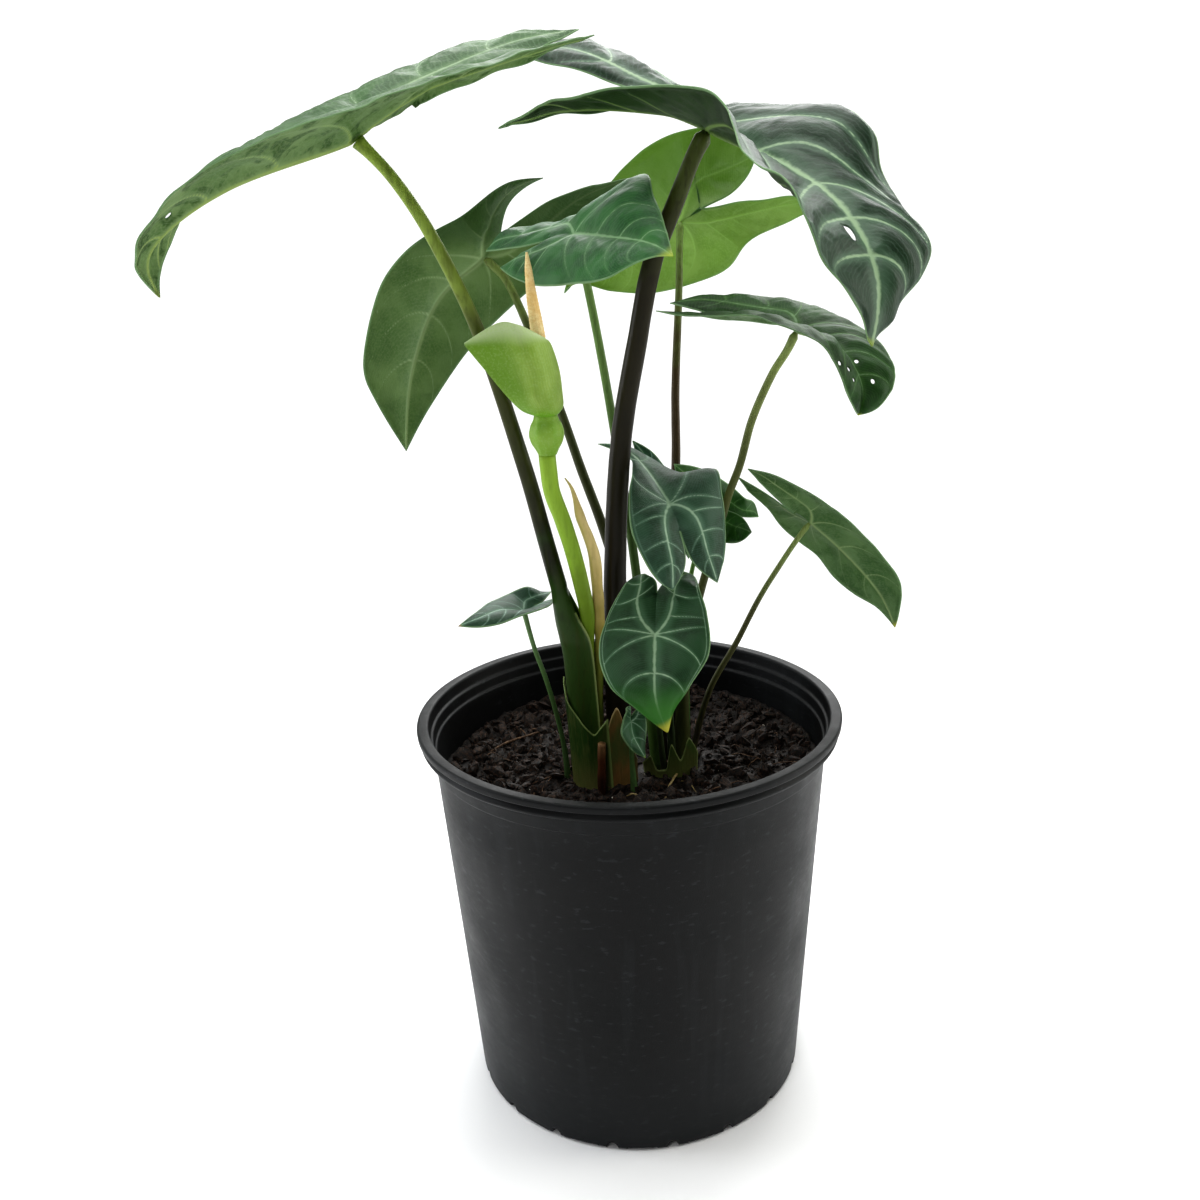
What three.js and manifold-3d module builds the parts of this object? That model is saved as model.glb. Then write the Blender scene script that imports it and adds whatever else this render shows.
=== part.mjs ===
import * as THREE from "three";
import { mergeVertices } from "three/addons/utils/BufferGeometryUtils.js";
import Module from "manifold-3d";

// A potted alocasia longiloba: a nursery pot of soil, two clumps of arrow-shaped leaves on long
// petioles, and one inflorescence. Millimetres, +Z up, the origin on the pot's axis where it
// stands on the ground, and the side that the plant shows best faces -Y.

const wasm = await Module();
wasm.setup();

// Driving dimensions.
const GAP = 0.3;
const POT = { height: 212, rimRadius: 114, shoulderRadius: 105.4, shoulderHeight: 193, baseRadius: 92 };
const POT_WALL = 1.8;
const POT_FLOOR = 2.5;
const POT_SIDES = 36;
const DRAINS = { count: 18, radius: 2.8, height: 1.6, firstAngle: -80 };
const SLOTS = { width: 16, height: 1.6, depth: 5 };
const SOIL = { level: 176, rise: 8, riseAngle: 50, edgeRadius: 98, wallGap: 0.5 };
const BLADE_THICKNESS = 0.9;
const CROWN_TOP = 176.7;
const CROWN_FOOT = 140;
const STALK_FOOT = CROWN_TOP + GAP;
const SOCKET_FLOOR = 172;
const SOCKET_CLEARANCE = 0.9;
const ABOVE_SOIL = 200;
const CLUMP_SIDES = 32;
const STALK_SIDES = 6;
const STALK_STEP = 18;
const GUTTER_STEP = 16;
const GUTTER_HALF_SIDES = 6;
const SHEATH_THICKNESS = 1.1;
const SHEATH_STANDOFF = 0.4;
const SHEATH_STEP_ANGLE = 8;
const SHEATH_LEAN = { from: 177, x: -0.043, y: -0.047 };

// The two crowns, seen from above: centre and half-widths.
const LEFT_CLUMP = { x: -13, y: -11.5, halfWidth: 16.6, halfDepth: 11.8 };
const RIGHT_CLUMP = { x: 22.5, y: 1, halfWidth: 14.6, halfDepth: 12.8 };

// Colours as sRGB, by what shows in daylight.
const COLOURS = {
  pot: "#1b1d1e",
  soil: "#1d1510",
  crown: "#5a4528",
  blade: "#2c4a34",
  paleBlade: "#5c8a3c",
  petiole: "#3a3a24",
  greenPetiole: "#4f7038",
  peduncle: "#7d9a35",
  spathe: "#86a948",
  spadix: "#d9b571",
  sheath: "#3c5a2a",
  husk: "#7a5a34",
};

// Each blade is laid out on its midline: tip, two points of the midrib, the junction with the
// petiole, and the bottom of the sinus between the two back lobes. A margin starts at the tip and
// runs through [knot, x, y, z] to the end of its lobe at knot 6, where knot 3 lies level with the
// junction and knot 4 with the sinus. cup is how far each half bulges between rib and margin, as
// a share of its width, and cleft is the same for the inner edge of each back lobe. A petiole is
// a route from the blade down, with its [height, radius] pairs.
const LEAVES = {
  leaf_01: {
    midline: [[-181, -112, 444], [-178, -122, 463], [-150, -108, 484], [-111, -50, 502], [-84, -24, 518]],
    right: [[1.1, -176, -110, 462], [2.3, -164, -74, 493], [3.2, -143, -14, 514], [4.4, -99, 20, 536],
      [5.3, -58, 46, 551], [6, -13, 48, 554]],
    left: [[1, -179, -137, 463], [1.5, -161, -144, 481], [1.9, -133, -145, 496], [2.8, -87, -94, 516],
      [4.1, -57, -60, 528], [5.1, -31, -28, 538], [6, -5, 4, 546]],
    cup: [0.08, 0.06], cleft: [0.05, -0.1], rows: 24, columns: 4,
    route: [[-109, -50, 503], [-94, -50, 486], [-80, -48, 462], [-63, -40, 419], [-46, -29, 352],
      [-37.5, -24, 311], [-32.8, -22, 289], [-28.6, -20, 272], [-24.4, -18, 258], [-22.6, -14.5, 230],
      [-21.3, -12.3, 200], [-20.5, -11, 177], [-20.3, -10.8, 172]],
    radii: [[503, 2.5], [352, 3.8], [289, 4.3], [262, 9.3], [230, 9.3], [177, 8.8]],
    sheath: { wall: 2, closedAbove: 290, openBelow: 262, mouth: 42 },
  },
  leaf_02: {
    midline: [[95, -150, 419], [97, -138, 448], [82, -104, 476], [44, -30, 502], [38, -14, 509]],
    right: [[0.4, 86, -159, 436], [0.8, 74, -162, 452], [1.2, 68, -159, 467], [1.5, 63, -150, 477],
      [2.1, 52, -120, 489], [2.6, 43, -77, 513], [3.2, 22, -54, 519], [5.1, -21, -24, 518],
      [6, -52, 8, 509]],
    left: [[0.6, 108, -131, 429], [1.2, 123, -117, 451], [2.1, 115, -80, 474], [2.4, 107, -59, 503],
      [2.9, 87, -18, 508], [3.8, 57, 19, 511], [4.6, 29, 29, 529], [5.5, -7, 92, 551],
      [6, -52, 78, 548]],
    cup: [-0.08, 0.1], cleft: [-0.3, -0.2], rows: 27, columns: 4,
    route: [[44, -30, 502], [38, -30, 492], [28, -27, 469], [18, -23, 445], [10, -18, 408],
      [1, -13, 361], [-4, -11, 299], [-5.5, -10.5, 235], [-4.3, -9.5, 177], [-4.2, -9.4, 172]],
    radii: [[502, 3.4], [445, 4.6], [361, 5.2], [299, 5.7], [235, 6.2], [177, 6.8]],
  },
  leaf_03: {
    midline: [[-123, 86, 340], [-114, 72, 385], [-95, 60, 425], [-68, 52, 447], [-58, 52, 459]],
    right: [[0.6, -107, 81, 365], [1.4, -82, 77, 397], [2.7, -53, 67, 423], [4.2, -28, 64, 443],
      [5.2, -10, 78, 468], [6, 10, 78, 484]],
    left: [[0.7, -137, 80, 371], [1.1, -142, 80, 389], [1.4, -136, 76, 413], [1.8, -125, 72, 437],
      [2.3, -108, 68, 454], [3.9, -78, 60, 469], [5.3, -55, 70, 484], [6, -35, 66, 486]],
    cup: [0.1, 0.1], cleft: [0.3, -0.35], rows: 21, columns: 3,
    route: [[-68, 52, 448], [-64, 54, 444], [-57, 55, 436], [-47, 52, 413], [-31, 43, 368],
      [-21, 36, 337], [-10, 28, 305], [14, 13, 220], [18, 9, 177], [18.2, 8.8, 172]],
    radii: [[447, 2], [305, 2.7], [220, 3.1], [177, 3.6]],
  },
  leaf_04: {
    midline: [[25, -85, 451], [15, -68, 456], [0, -42, 458], [-18, -6, 459], [-31, 8, 456]],
    right: [[0.4, 16, -81, 451], [1.2, -4, -72, 442], [2.3, -24, -39, 438], [3.4, -37, -20, 437],
      [4.8, -48, -6, 440], [6, -56, 14, 444]],
    left: [[1.2, 22, -57, 466], [1.8, 19, -40, 475], [2.3, 16, -20, 485], [2.9, 1, 10, 477],
      [4.1, -14, 33, 467], [5.1, -37, 45, 462], [5.6, -54, 46, 461], [6, -65, 42, 451]],
    cup: [0.1, 0.1], cleft: [0.1, 0.1], rows: 21, columns: 3,
    route: [[-18, -6, 460], [-16, -1, 449], [-13, 3, 435], [-7, 10, 396], [-2, 14, 358],
      [6, 11, 292], [12, 3, 220], [16, -1, 177], [16.2, -1.2, 172]],
    radii: [[458, 2], [292, 2.4], [230, 2.7], [200, 3.8], [177, 4.5]],
  },
  leaf_05: {
    midline: [[-29, 118, 423], [-13, 116, 436], [11, 104, 448], [37, 80, 461], [47, 74, 467]],
    right: [[0.45, -20, 119, 428], [0.9, -2, 121, 423], [1.7, 26, 113, 422], [2.6, 60, 101, 432],
      [4.4, 76, 86, 450], [5.2, 98, 92, 459], [6, 121, 84, 469]],
    left: [[1.4, -13, 121, 466], [1.8, 1, 121, 484], [2.6, 20, 106, 500], [4.2, 44, 90, 508],
      [5.2, 68, 92, 507], [6, 79, 84, 494]],
    cup: [0.1, 0.1], cleft: [0.2, 0.2], rows: 21, columns: 3,
    route: [[37, 80, 462], [36, 75, 447], [35, 68, 427], [31, 46, 375], [30, 34, 340],
      [25, 18, 260], [27, 9.5, 177], [27.1, 9.2, 172]],
    radii: [[461, 1.8], [340, 2.4], [260, 2.7], [177, 3.6]],
  },
  leaf_06: {
    midline: [[115, -24, 371], [115, -30, 387], [106, -16, 403], [90, 8, 408], [82, 18, 411]],
    right: [[0.9, 106, -40, 385], [1.4, 101, -40, 398], [1.8, 92, -37, 409], [2.6, 75, -19, 416],
      [3.9, 64, -5, 418], [5.2, 37, 14, 417], [6, 21, 30, 419]],
    left: [[0.4, 124, -29, 376], [0.7, 131, -27, 384], [1.6, 131, -11, 398], [2.4, 122, 9, 409],
      [3.6, 102, 40, 418], [4.5, 81, 45, 422], [5.4, 54, 58, 424], [6, 29, 50, 421]],
    cup: [0.1, 0.1], cleft: [0.1, 0.1], rows: 18, columns: 3,
    route: [[90, 8, 409], [86, 12, 399], [79, 15, 387], [69, 19, 363], [63, 22, 339],
      [56, 22, 320], [33, 9, 240], [29, -1, 177], [28.8, -1.5, 172]],
    radii: [[407, 2], [240, 2.3], [210, 3.6], [177, 4.8]],
  },
  leaf_07: {
    midline: [[144, 6, 251], [136, 14, 269], [119, 18, 289], [100, 18, 307], [91, 18, 313]],
    right: [[0.9, 146, 6, 274], [1.6, 135, 3, 292], [2.3, 123, -2, 306], [3.8, 103, -4, 324],
      [4.8, 87, 4, 333], [5.5, 76, 4, 338], [6, 66, 12, 339]],
    left: [[0.7, 136, 17, 259], [1.2, 125, 22, 265], [1.7, 115, 29, 273], [2.2, 107, 38, 283],
      [2.6, 98, 41, 290], [3.4, 89, 42, 298], [4.6, 78, 38, 312], [5.4, 69, 38, 321],
      [6, 63, 34, 330]],
    cup: [0.1, 0.1], cleft: [0.1, 0.1], rows: 15, columns: 3,
    route: [[100, 18, 308], [94, 20, 299], [88, 22, 289], [74, 24, 265], [61, 22, 240],
      [45, 15, 214], [34, 5, 177], [33, 4, 172]],
    radii: [[306, 1.4], [177, 1.8]],
  },
  leaf_08: {
    midline: [[-11, 10, 355], [1, 4, 354], [12, -12, 347], [23, -44, 335], [27, -50, 324]],
    right: [[0.5, -4, 9, 354], [1, 7, 10, 351], [1.5, 18, 8, 345], [1.9, 28, 1, 339],
      [2.3, 38, -10, 340], [2.7, 47, -19, 346], [3.3, 49, -30, 337], [4.4, 50, -34, 324],
      [5.4, 49, -40, 306], [6, 45, -46, 296]],
    left: [[1.3, 6, -3, 349], [1.8, 6.5, -14, 346], [2.6, 4, -37, 340], [3.9, 4, -63, 329],
      [4.8, 9, -63, 315], [5.6, 16, -66, 304], [6, 23, -62, 298]],
    cup: [0.1, 0.1], cleft: [0.2, 0.25], rows: 15, columns: 3,
    route: [[23, -45, 335], [23, -41, 327], [22, -34, 305], [21, -20, 258], [24, -6, 177],
      [24.2, -5.4, 172]],
    radii: [[334, 1.5], [177, 1.7]],
  },
  leaf_09: {
    midline: [[18, -86, 236], [13, -84, 252], [13, -76, 265], [14, -62, 276], [16, -41, 290]],
    right: [[0.8, 4, -83, 247], [1.4, -8, -82, 258], [2.4, -13, -66, 268], [4.2, -9, -46, 279],
      [5.2, -1, -37, 292], [5.7, 5, -30, 295], [6, 11, -34, 298]],
    left: [[0.4, 22, -80, 245], [1.3, 29, -80, 256], [2.5, 39, -70, 269], [4.2, 39, -60, 286],
      [5, 36, -51, 295], [5.6, 35, -28, 294], [6, 30, -32, 298]],
    cup: [0.1, 0.1], cleft: [0.1, 0.1], rows: 15, columns: 3,
    route: [[14, -62, 276], [14, -56, 269], [14, -46, 252], [15, -30, 226], [18.5, -8.5, 177],
      [18.8, -7, 172]],
    radii: [[274, 1.5], [177, 1.6]],
  },
  leaf_10: {
    midline: [[-79, -66, 285], [-70, -58, 286], [-61, -44, 285], [-51, -28, 279], [-46, -22, 279]],
    right: [[1.2, -72, -52, 287], [2.2, -67, -34, 286], [3.7, -59, -16, 284], [4.6, -50, -14, 287],
      [5.5, -43, -4, 281], [6, -38, -4, 281]],
    left: [[0.8, -69, -63, 283], [1.5, -60, -56, 282], [2.4, -51, -42, 281], [3.5, -42, -33, 281],
      [5, -37, -22, 280], [6, -37, -14, 280]],
    cup: [0.1, 0.1], cleft: [0.1, 0.1], rows: 12, columns: 2,
    route: [[-51, -28, 280], [-47, -26, 259], [-42, -22, 239], [-38, -17, 218], [-35, -12, 196],
      [-34, -8, 176], [-34, -7.5, SOCKET_FLOOR]],
    radii: [[277, 1.2], [200, 1.3], [176, 1.8]],
    ownFoot: true,
  },
  leaf_11: {
    midline: [[8, -42, 202], [5, -42, 208], [2, -38, 213], [1, -32, 218], [1, -30, 220]],
    right: [[1.1, 1, -45, 208], [2, -4, -43, 216], [2.8, -3, -38, 221], [4.4, -1, -35, 225],
      [5.4, -1, -32, 226], [6, 1, -28, 225]],
    left: [[0.7, 8, -38, 207], [2.2, 9, -34, 213], [4, 9, -28, 218], [4.9, 8, -26, 222],
      [5.4, 8, -26, 223], [6, 7, -26, 225]],
    cup: [0.1, 0.1], cleft: [0.1, 0.1], rows: 9, columns: 2,
    route: [[1, -32, 219], [1, -29, 210], [1, -27.5, 196], [1.5, -27, 184], [2, -26.5, SOCKET_FLOOR]],
    radii: [[218, 1.1], [196, 1.2], [176, 2]],
    ownFoot: true,
  },
  leaf_12: {
    midline: [[28, 16, 342], [35, 20, 335], [42, 26, 327], [51, 32, 316], [56, 34, 312]],
    right: [[1, 38, 23, 339], [2.1, 47, 35, 333], [3.9, 61, 43, 322], [4.7, 67, 39, 317],
      [5.6, 73, 46, 312], [6, 75, 42, 305]],
    left: [[1.1, 31, 19, 329], [1.8, 35, 18, 319], [3, 43, 23, 304], [4.7, 55, 29, 295],
      [5.5, 63, 22, 297], [6, 70, 30, 300]],
    cup: [0.1, 0.1], cleft: [0.2, 0.2], rows: 12, columns: 2,
    route: [[51, 32, 317], [47, 31, 307], [37, 27, 279], [33, 13, 240], [33, 9.5, 177],
      [33, 9.2, 172]],
    radii: [[315, 1.2], [177, 1.4]],
  },
  leaf_13: {
    midline: [[7, 16, 355], [13, 12, 348], [18, 8, 339], [24, 0, 327], [26, -3, 322]],
    right: [[1, 17, 14, 349], [2, 25, 14, 339], [3, 38, 10, 329], [4.4, 40, 1, 317], [5.4, 38, 4, 303],
      [6, 34, 0, 295]],
    left: [[1.4, 10, 11, 342], [2.4, 12, -4, 335], [3.9, 13, -13, 323], [4.8, 17, -6, 309],
      [5.5, 21, -14, 304], [6, 25, -8, 297]],
    cup: [0.1, 0.1], cleft: [0.2, 0.2], rows: 12, columns: 2,
    route: [[24, 0, 328], [24, 4, 318], [24, 7, 294], [22.5, 7, 240], [22.5, 3.5, 177],
      [22.5, 3.4, 172]],
    radii: [[327, 1.2], [177, 1.4]],
  },
};

// The flower stalk and the dry cataphyll beside it both rise inside the sheath of leaf_01.
const PEDUNCLE = {
  route: [[-34.3, -40, 360], [-34, -40, 354], [-33, -38, 342], [-29, -35, 328], [-25, -31, 311.5],
    [-21.1, -26, 289.5], [-19.3, -22, 275], [-19.8, -18.7, 262], [-21, -15.8, 240],
    [-22.5, -13.5, 220], [-23, -11.5, 177], [-23, -11.3, 172]],
  radii: [[360, 4.1], [177, 3.7]],
};
const CATAPHYLL = {
  route: [[-27, -27, 346], [-23.8, -27, 340.5], [-20.2, -26, 325.5], [-16.2, -25, 313.5], [-14, -23.6, 303],
    [-13.4, -20.5, 281], [-13.6, -17, 258], [-15.3, -14, 220], [-16, -12.5, 177], [-16, -12.4, 172]],
  radii: [[346, 0.5], [326, 1.8], [300, 2.4], [240, 2], [177, 1.8]],
};
const SPADIX = {
  route: [[-39, -36, 453], [-38, -36.5, 436], [-36, -37.5, 418], [-35, -38.5, 405], [-33.8, -39.5, 383.6]],
  radii: [[453, 0.5], [446, 1.6], [432, 2.5], [415, 3.3], [384, 3.2]],
};

// The spathe: a swollen tube at the top of the stalk as [height, radius], narrowed to a neck, and
// the cowl above it as rows of points from its right edge, round the front, to its left edge.
const SPATHE_AXIS = { x: -34, y: -40 };
const SPATHE_TUBE = [[360.6, 4.3], [363, 5.4], [366.5, 7.4], [370.4, 8.4], [374.5, 7.5], [377.5, 5.9],
  [380.5, 5.4], [382.5, 5.6]];
const SPATHE_SIDES = 16;
const COWL_THICKNESS = 1.1;
const COWL = [
  [[-28.6, -37.5, 379.5], [-29.6, -42.5, 379.5], [-33, -45.2, 379.5], [-37, -43.5, 379.5], [-39, -39, 379.5]],
  [[-26, -38, 383], [-29, -46, 382], [-34, -49, 383], [-39, -48, 382.5], [-45, -44, 383]],
  [[-26, -38, 389], [-30, -48, 390], [-37, -52, 390], [-43, -50, 391], [-52, -50, 392]],
  [[-27, -38, 400], [-32, -50, 401], [-38, -54, 401], [-46, -51, 401], [-59, -53, 402]],
  [[-30, -38, 411], [-34, -50, 412], [-41, -55, 411], [-50, -52, 412], [-67, -54, 413]],
  [[-32.5, -43, 415], [-37, -46, 418], [-44, -49, 422], [-53, -48, 423], [-68, -52, 415]],
];

// Dry and green sheaths wrapped round the clumps: the ellipse that they follow, and their top edge
// as [angle in degrees, height].
const SHEATHS = {
  sheath_left: {
    clump: LEFT_CLUMP, colour: "sheath",
    top: [[165, 236], [195, 229], [228, 218], [258, 208], [283, 218]],
  },
  old_sheath_left: {
    clump: LEFT_CLUMP, colour: "husk",
    top: [[287, 220], [312, 219], [319, 203], [335, 199], [352, 192]],
  },
  sheath_right: {
    clump: RIGHT_CLUMP, colour: "sheath",
    top: [[200, 181], [225, 188], [240, 179], [262, 178.5], [268, 195], [287, 182.5], [307, 196],
      [335, 184]],
  },
};
const CUT_STUB = {
  route: [[-14.4, -29.2, 205], [-15.2, -27.6, 178], [-15.2, -27.6, SOCKET_FLOOR]],
  radius: 2.2,
};

const vec = (p) => new THREE.Vector3(p[0], p[1], p[2]);
const radians = THREE.MathUtils.degToRad;
const mix = THREE.MathUtils.lerp;

// A value from [at, value] pairs with at rising or falling, straight between them.
function along(pairs, at) {
  const rising = pairs[0][0] < pairs[pairs.length - 1][0];
  const list = rising ? pairs : [...pairs].reverse();
  if (at <= list[0][0]) return list[0][1];
  for (let i = 1; i < list.length; i++) {
    const [a, b] = [list[i - 1], list[i]];
    if (at <= b[0]) return mix(a[1], b[1], (at - a[0]) / (b[0] - a[0]));
  }
  return list[list.length - 1][1];
}

// A smooth curve through points at given knots: cubic, with each slope from its two neighbours
// and ends that run out as a parabola.
function curveAt(knots, points, at) {
  const last = points.length - 1;
  const slope = (i) => {
    const [a, b] = [Math.max(i - 1, 0), Math.min(i + 1, last)];
    return points[b].clone().sub(points[a]).divideScalar(knots[b] - knots[a]);
  };
  const end = (i, inner) => slope(i).multiplyScalar(1.5).addScaledVector(slope(inner), -0.5);
  const tangent = (i) => (i === 0 ? end(0, 1) : i === last ? end(last, last - 1) : slope(i));
  let i = 0;
  while (i < last - 1 && at >= knots[i + 1]) i++;
  const span = knots[i + 1] - knots[i];
  const s = (at - knots[i]) / span;
  return new THREE.Vector3()
    .addScaledVector(points[i], 2 * s ** 3 - 3 * s ** 2 + 1)
    .addScaledVector(tangent(i), span * (s ** 3 - 2 * s ** 2 + s))
    .addScaledVector(points[i + 1], 3 * s ** 2 - 2 * s ** 3)
    .addScaledVector(tangent(i + 1), span * (s ** 3 - s ** 2));
}

// A closed geometry from points and triangles: equal points are joined and empty triangles dropped.
function meshOf(points, triangles) {
  const geometry = new THREE.BufferGeometry().setFromPoints(points);
  geometry.setIndex(triangles.flat());
  return joined(geometry);
}

function joined(source) {
  const geometry = source.clone();
  geometry.deleteAttribute("normal");
  geometry.deleteAttribute("uv");
  const merged = mergeVertices(geometry, 1e-3);
  const index = [];
  const old = merged.index.array;
  for (let i = 0; i < old.length; i += 3) {
    const [a, b, c] = [old[i], old[i + 1], old[i + 2]];
    if (a !== b && b !== c && c !== a) index.push(a, b, c);
  }
  merged.setIndex(index);
  return volumeOf(merged) < 0 ? turnedRound(merged) : merged;
}

function volumeOf(geometry) {
  const position = geometry.attributes.position;
  const corner = (i) => new THREE.Vector3().fromBufferAttribute(position, geometry.index.getX(i));
  let sum = 0;
  for (let i = 0; i < geometry.index.count; i += 3) sum += corner(i).dot(corner(i + 1).cross(corner(i + 2)));
  return sum / 6;
}

function turnedRound(geometry) {
  const index = geometry.index.array;
  for (let i = 0; i < index.length; i += 3) [index[i], index[i + 1]] = [index[i + 1], index[i]];
  return geometry;
}

function solidOf(geometry) {
  const closed = joined(geometry);
  return new wasm.Manifold(new wasm.Mesh({
    numProp: 3,
    vertProperties: new Float32Array(closed.attributes.position.array),
    triVerts: new Uint32Array(closed.index.array),
  }));
}

// The largest body of a solid, as a geometry. It is taken twice, because joining the close points
// of the first can part a splinter from it.
function geometryOf(solid) {
  return largestBody(solidOf(largestBody(solid)));
}

function largestBody(solid) {
  const bodies = solid.decompose().sort((a, b) => b.volume() - a.volume());
  const mesh = bodies[0].getMesh();
  const geometry = new THREE.BufferGeometry();
  geometry.setAttribute("position", new THREE.BufferAttribute(mesh.vertProperties, 3));
  geometry.setIndex(new THREE.BufferAttribute(mesh.triVerts, 1));
  return geometry;
}

// One half of a blade as a grid of points: row by row from the tip to the end of the lobe, and
// from the midrib, or the inner edge of the lobe, out to the margin. side is "right" or "left".
function halfBlade(leaf, side, rows, columns, { from = 0, to = 6 } = {}) {
  const [tip, rib1, rib2, junction, sinus] = leaf.midline.map(vec);
  const outer = [tip, ...leaf[side].map((p) => vec(p.slice(1)))];
  const outerKnots = [0, ...leaf[side].map((p) => p[0])];
  const lobe = outer[outer.length - 1];
  const chord = lobe.clone().sub(sinus);
  const outward = curveAt(outerKnots, outer, 4.6).sub(sinus);
  outward.addScaledVector(chord, -outward.dot(chord) / chord.lengthSq());
  const which = side === "right" ? 0 : 1;
  const inside = sinus.clone().addScaledVector(chord, 0.5).addScaledVector(outward, -leaf.cleft[which]);
  const midrib = [tip, rib1, rib2, junction, sinus];
  const innerEdge = [sinus, inside, lobe];
  const rowAt = (v) => {
    const start = v <= 4 ? curveAt([0, 1, 2, 3, 4], midrib, v) : curveAt([4, 5, 6], innerEdge, v);
    return { start, across: curveAt(outerKnots, outer, v).sub(start) };
  };
  const upAt = (v) => {
    const at = Math.min(Math.max(v, 0.05), 5.95);
    const [before, after, here] = [rowAt(at - 0.05), rowAt(at + 0.05), rowAt(at)];
    const back = before.start.sub(after.start).addScaledVector(before.across.sub(after.across), 0.5);
    return side === "right" ? here.across.cross(back).normalize() : back.cross(here.across).normalize();
  };
  const grid = [];
  for (let i = 0; i <= rows; i++) {
    const v = mix(from, to, i / rows);
    const { start, across } = rowAt(v);
    const bulge = upAt(v).multiplyScalar(leaf.cup[which] * across.length() * 4);
    const row = [];
    for (let j = 0; j <= columns; j++) {
      const t = j / columns;
      row.push(start.clone().addScaledVector(across, t).addScaledVector(bulge, t * (1 - t)));
    }
    grid.push(row);
  }
  return grid;
}

// The triangles of one grid of points, turned over for flip.
function gridTriangles(grid, first, flip) {
  const width = grid[0].length;
  const triangles = [];
  for (let i = 0; i + 1 < grid.length; i++)
    for (let j = 0; j + 1 < width; j++) {
      const a = first + i * width + j;
      const pair = [[a, a + 1, a + width + 1], [a, a + width + 1, a + width]];
      triangles.push(...(flip ? pair.map(([p, q, r]) => [q, p, r]) : pair));
    }
  return triangles;
}

// A sheet of joined grids given a thickness: below and above are measured along its normals.
function thickened(grids, flips, below, above) {
  const points = [];
  const triangles = [];
  grids.forEach((grid, g) => {
    triangles.push(...gridTriangles(grid, points.length, flips[g]));
    points.push(...grid.flat());
  });
  const sheet = new THREE.BufferGeometry().setFromPoints(points);
  sheet.setIndex(triangles.flat());
  const merged = mergeVertices(sheet, 1e-3);
  merged.computeVertexNormals();
  const { position, normal } = merged.attributes;
  const lifted = (by) => Array.from({ length: position.count }, (_, i) =>
    new THREE.Vector3().fromBufferAttribute(position, i)
      .addScaledVector(new THREE.Vector3().fromBufferAttribute(normal, i), by));
  const count = position.count;
  const faces = [];
  const edges = new Map();
  const old = merged.index.array;
  for (let i = 0; i < old.length; i += 3) {
    const [a, b, c] = [old[i], old[i + 1], old[i + 2]];
    if (a === b || b === c || c === a) continue;
    faces.push([a, b, c], [count + b, count + a, count + c]);
    for (const [p, q] of [[a, b], [b, c], [c, a]]) edges.set(p + "," + q, [p, q]);
  }
  for (const [p, q] of edges.values())
    if (!edges.has(q + "," + p)) faces.push([p, count + p, count + q], [p, count + q, q]);
  return meshOf([...lifted(above), ...lifted(-below)], faces);
}

function bladeGeometry(leaf) {
  const halves = ["right", "left"].map((side) => halfBlade(leaf, side, leaf.rows, leaf.columns));
  return thickened(halves, [true, false], BLADE_THICKNESS / 2, BLADE_THICKNESS / 2);
}

// What a petiole must not enter: the blade round the junction, with the clearance below it.
function bladeKeepOut(leaf) {
  const patch = { from: 2, to: 4 };
  const halves = ["right", "left"].map((side) => halfBlade(leaf, side, leaf.rows / 3, leaf.columns, patch));
  return solidOf(thickened(halves, [true, false], BLADE_THICKNESS / 2 + GAP, BLADE_THICKNESS));
}

// A body with a skin through rings of equal counts. A ring that is one repeated point needs no cap;
// otherwise cap gives the triangles that close an end, as positions on the ring.
function loft(rings, cap = []) {
  const width = rings[0].length;
  const points = rings.flat();
  const triangles = [];
  for (let i = 0; i + 1 < rings.length; i++)
    for (let j = 0; j < width; j++) {
      const [a, b] = [i * width + j, i * width + ((j + 1) % width)];
      triangles.push([a, b, b + width], [a, b + width, a + width]);
    }
  const top = points.length - width;
  for (const [p, q, r] of cap) triangles.push([q, p, r], [top + p, top + q, top + r]);
  return meshOf(points, triangles);
}

const fanCap = (sides) => Array.from({ length: sides - 2 }, (_, i) => [0, i + 1, i + 2]);

// Stations along a route about every step millimetres, each with its direction.
function stations(route, step) {
  const points = route.map(vec);
  const knots = [0];
  for (let i = 1; i < points.length; i++) knots.push(knots[i - 1] + points[i].distanceTo(points[i - 1]));
  const length = knots[knots.length - 1];
  const count = Math.max(4, Math.round(length / step));
  return Array.from({ length: count + 1 }, (_, i) => {
    const at = (length * i) / count;
    const [a, b] = [Math.max(at - 0.5, 0), Math.min(at + 0.5, length)];
    const direction = curveAt(knots, points, b).sub(curveAt(knots, points, a)).normalize();
    return { centre: curveAt(knots, points, at), direction };
  });
}

// Two axes square to a direction, the first as near +X as it can be.
function crossAxes(direction) {
  const x = new THREE.Vector3(1, 0, 0);
  x.addScaledVector(direction, -x.dot(direction)).normalize();
  return [x, direction.clone().cross(x)];
}

function stalkGeometry(route, radii, sides = STALK_SIDES, step = STALK_STEP) {
  const rings = stations(route, step).map(({ centre, direction }) => {
    const [x, y] = crossAxes(direction);
    const radius = along(radii, centre.z);
    return Array.from({ length: sides }, (_, k) => {
      const angle = (2 * Math.PI * k) / sides;
      const [u, w] = [radius * Math.cos(angle), radius * Math.sin(angle)];
      return centre.clone().addScaledVector(x, u).addScaledVector(y, w);
    });
  });
  return loft(rings, fanCap(sides));
}

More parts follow.
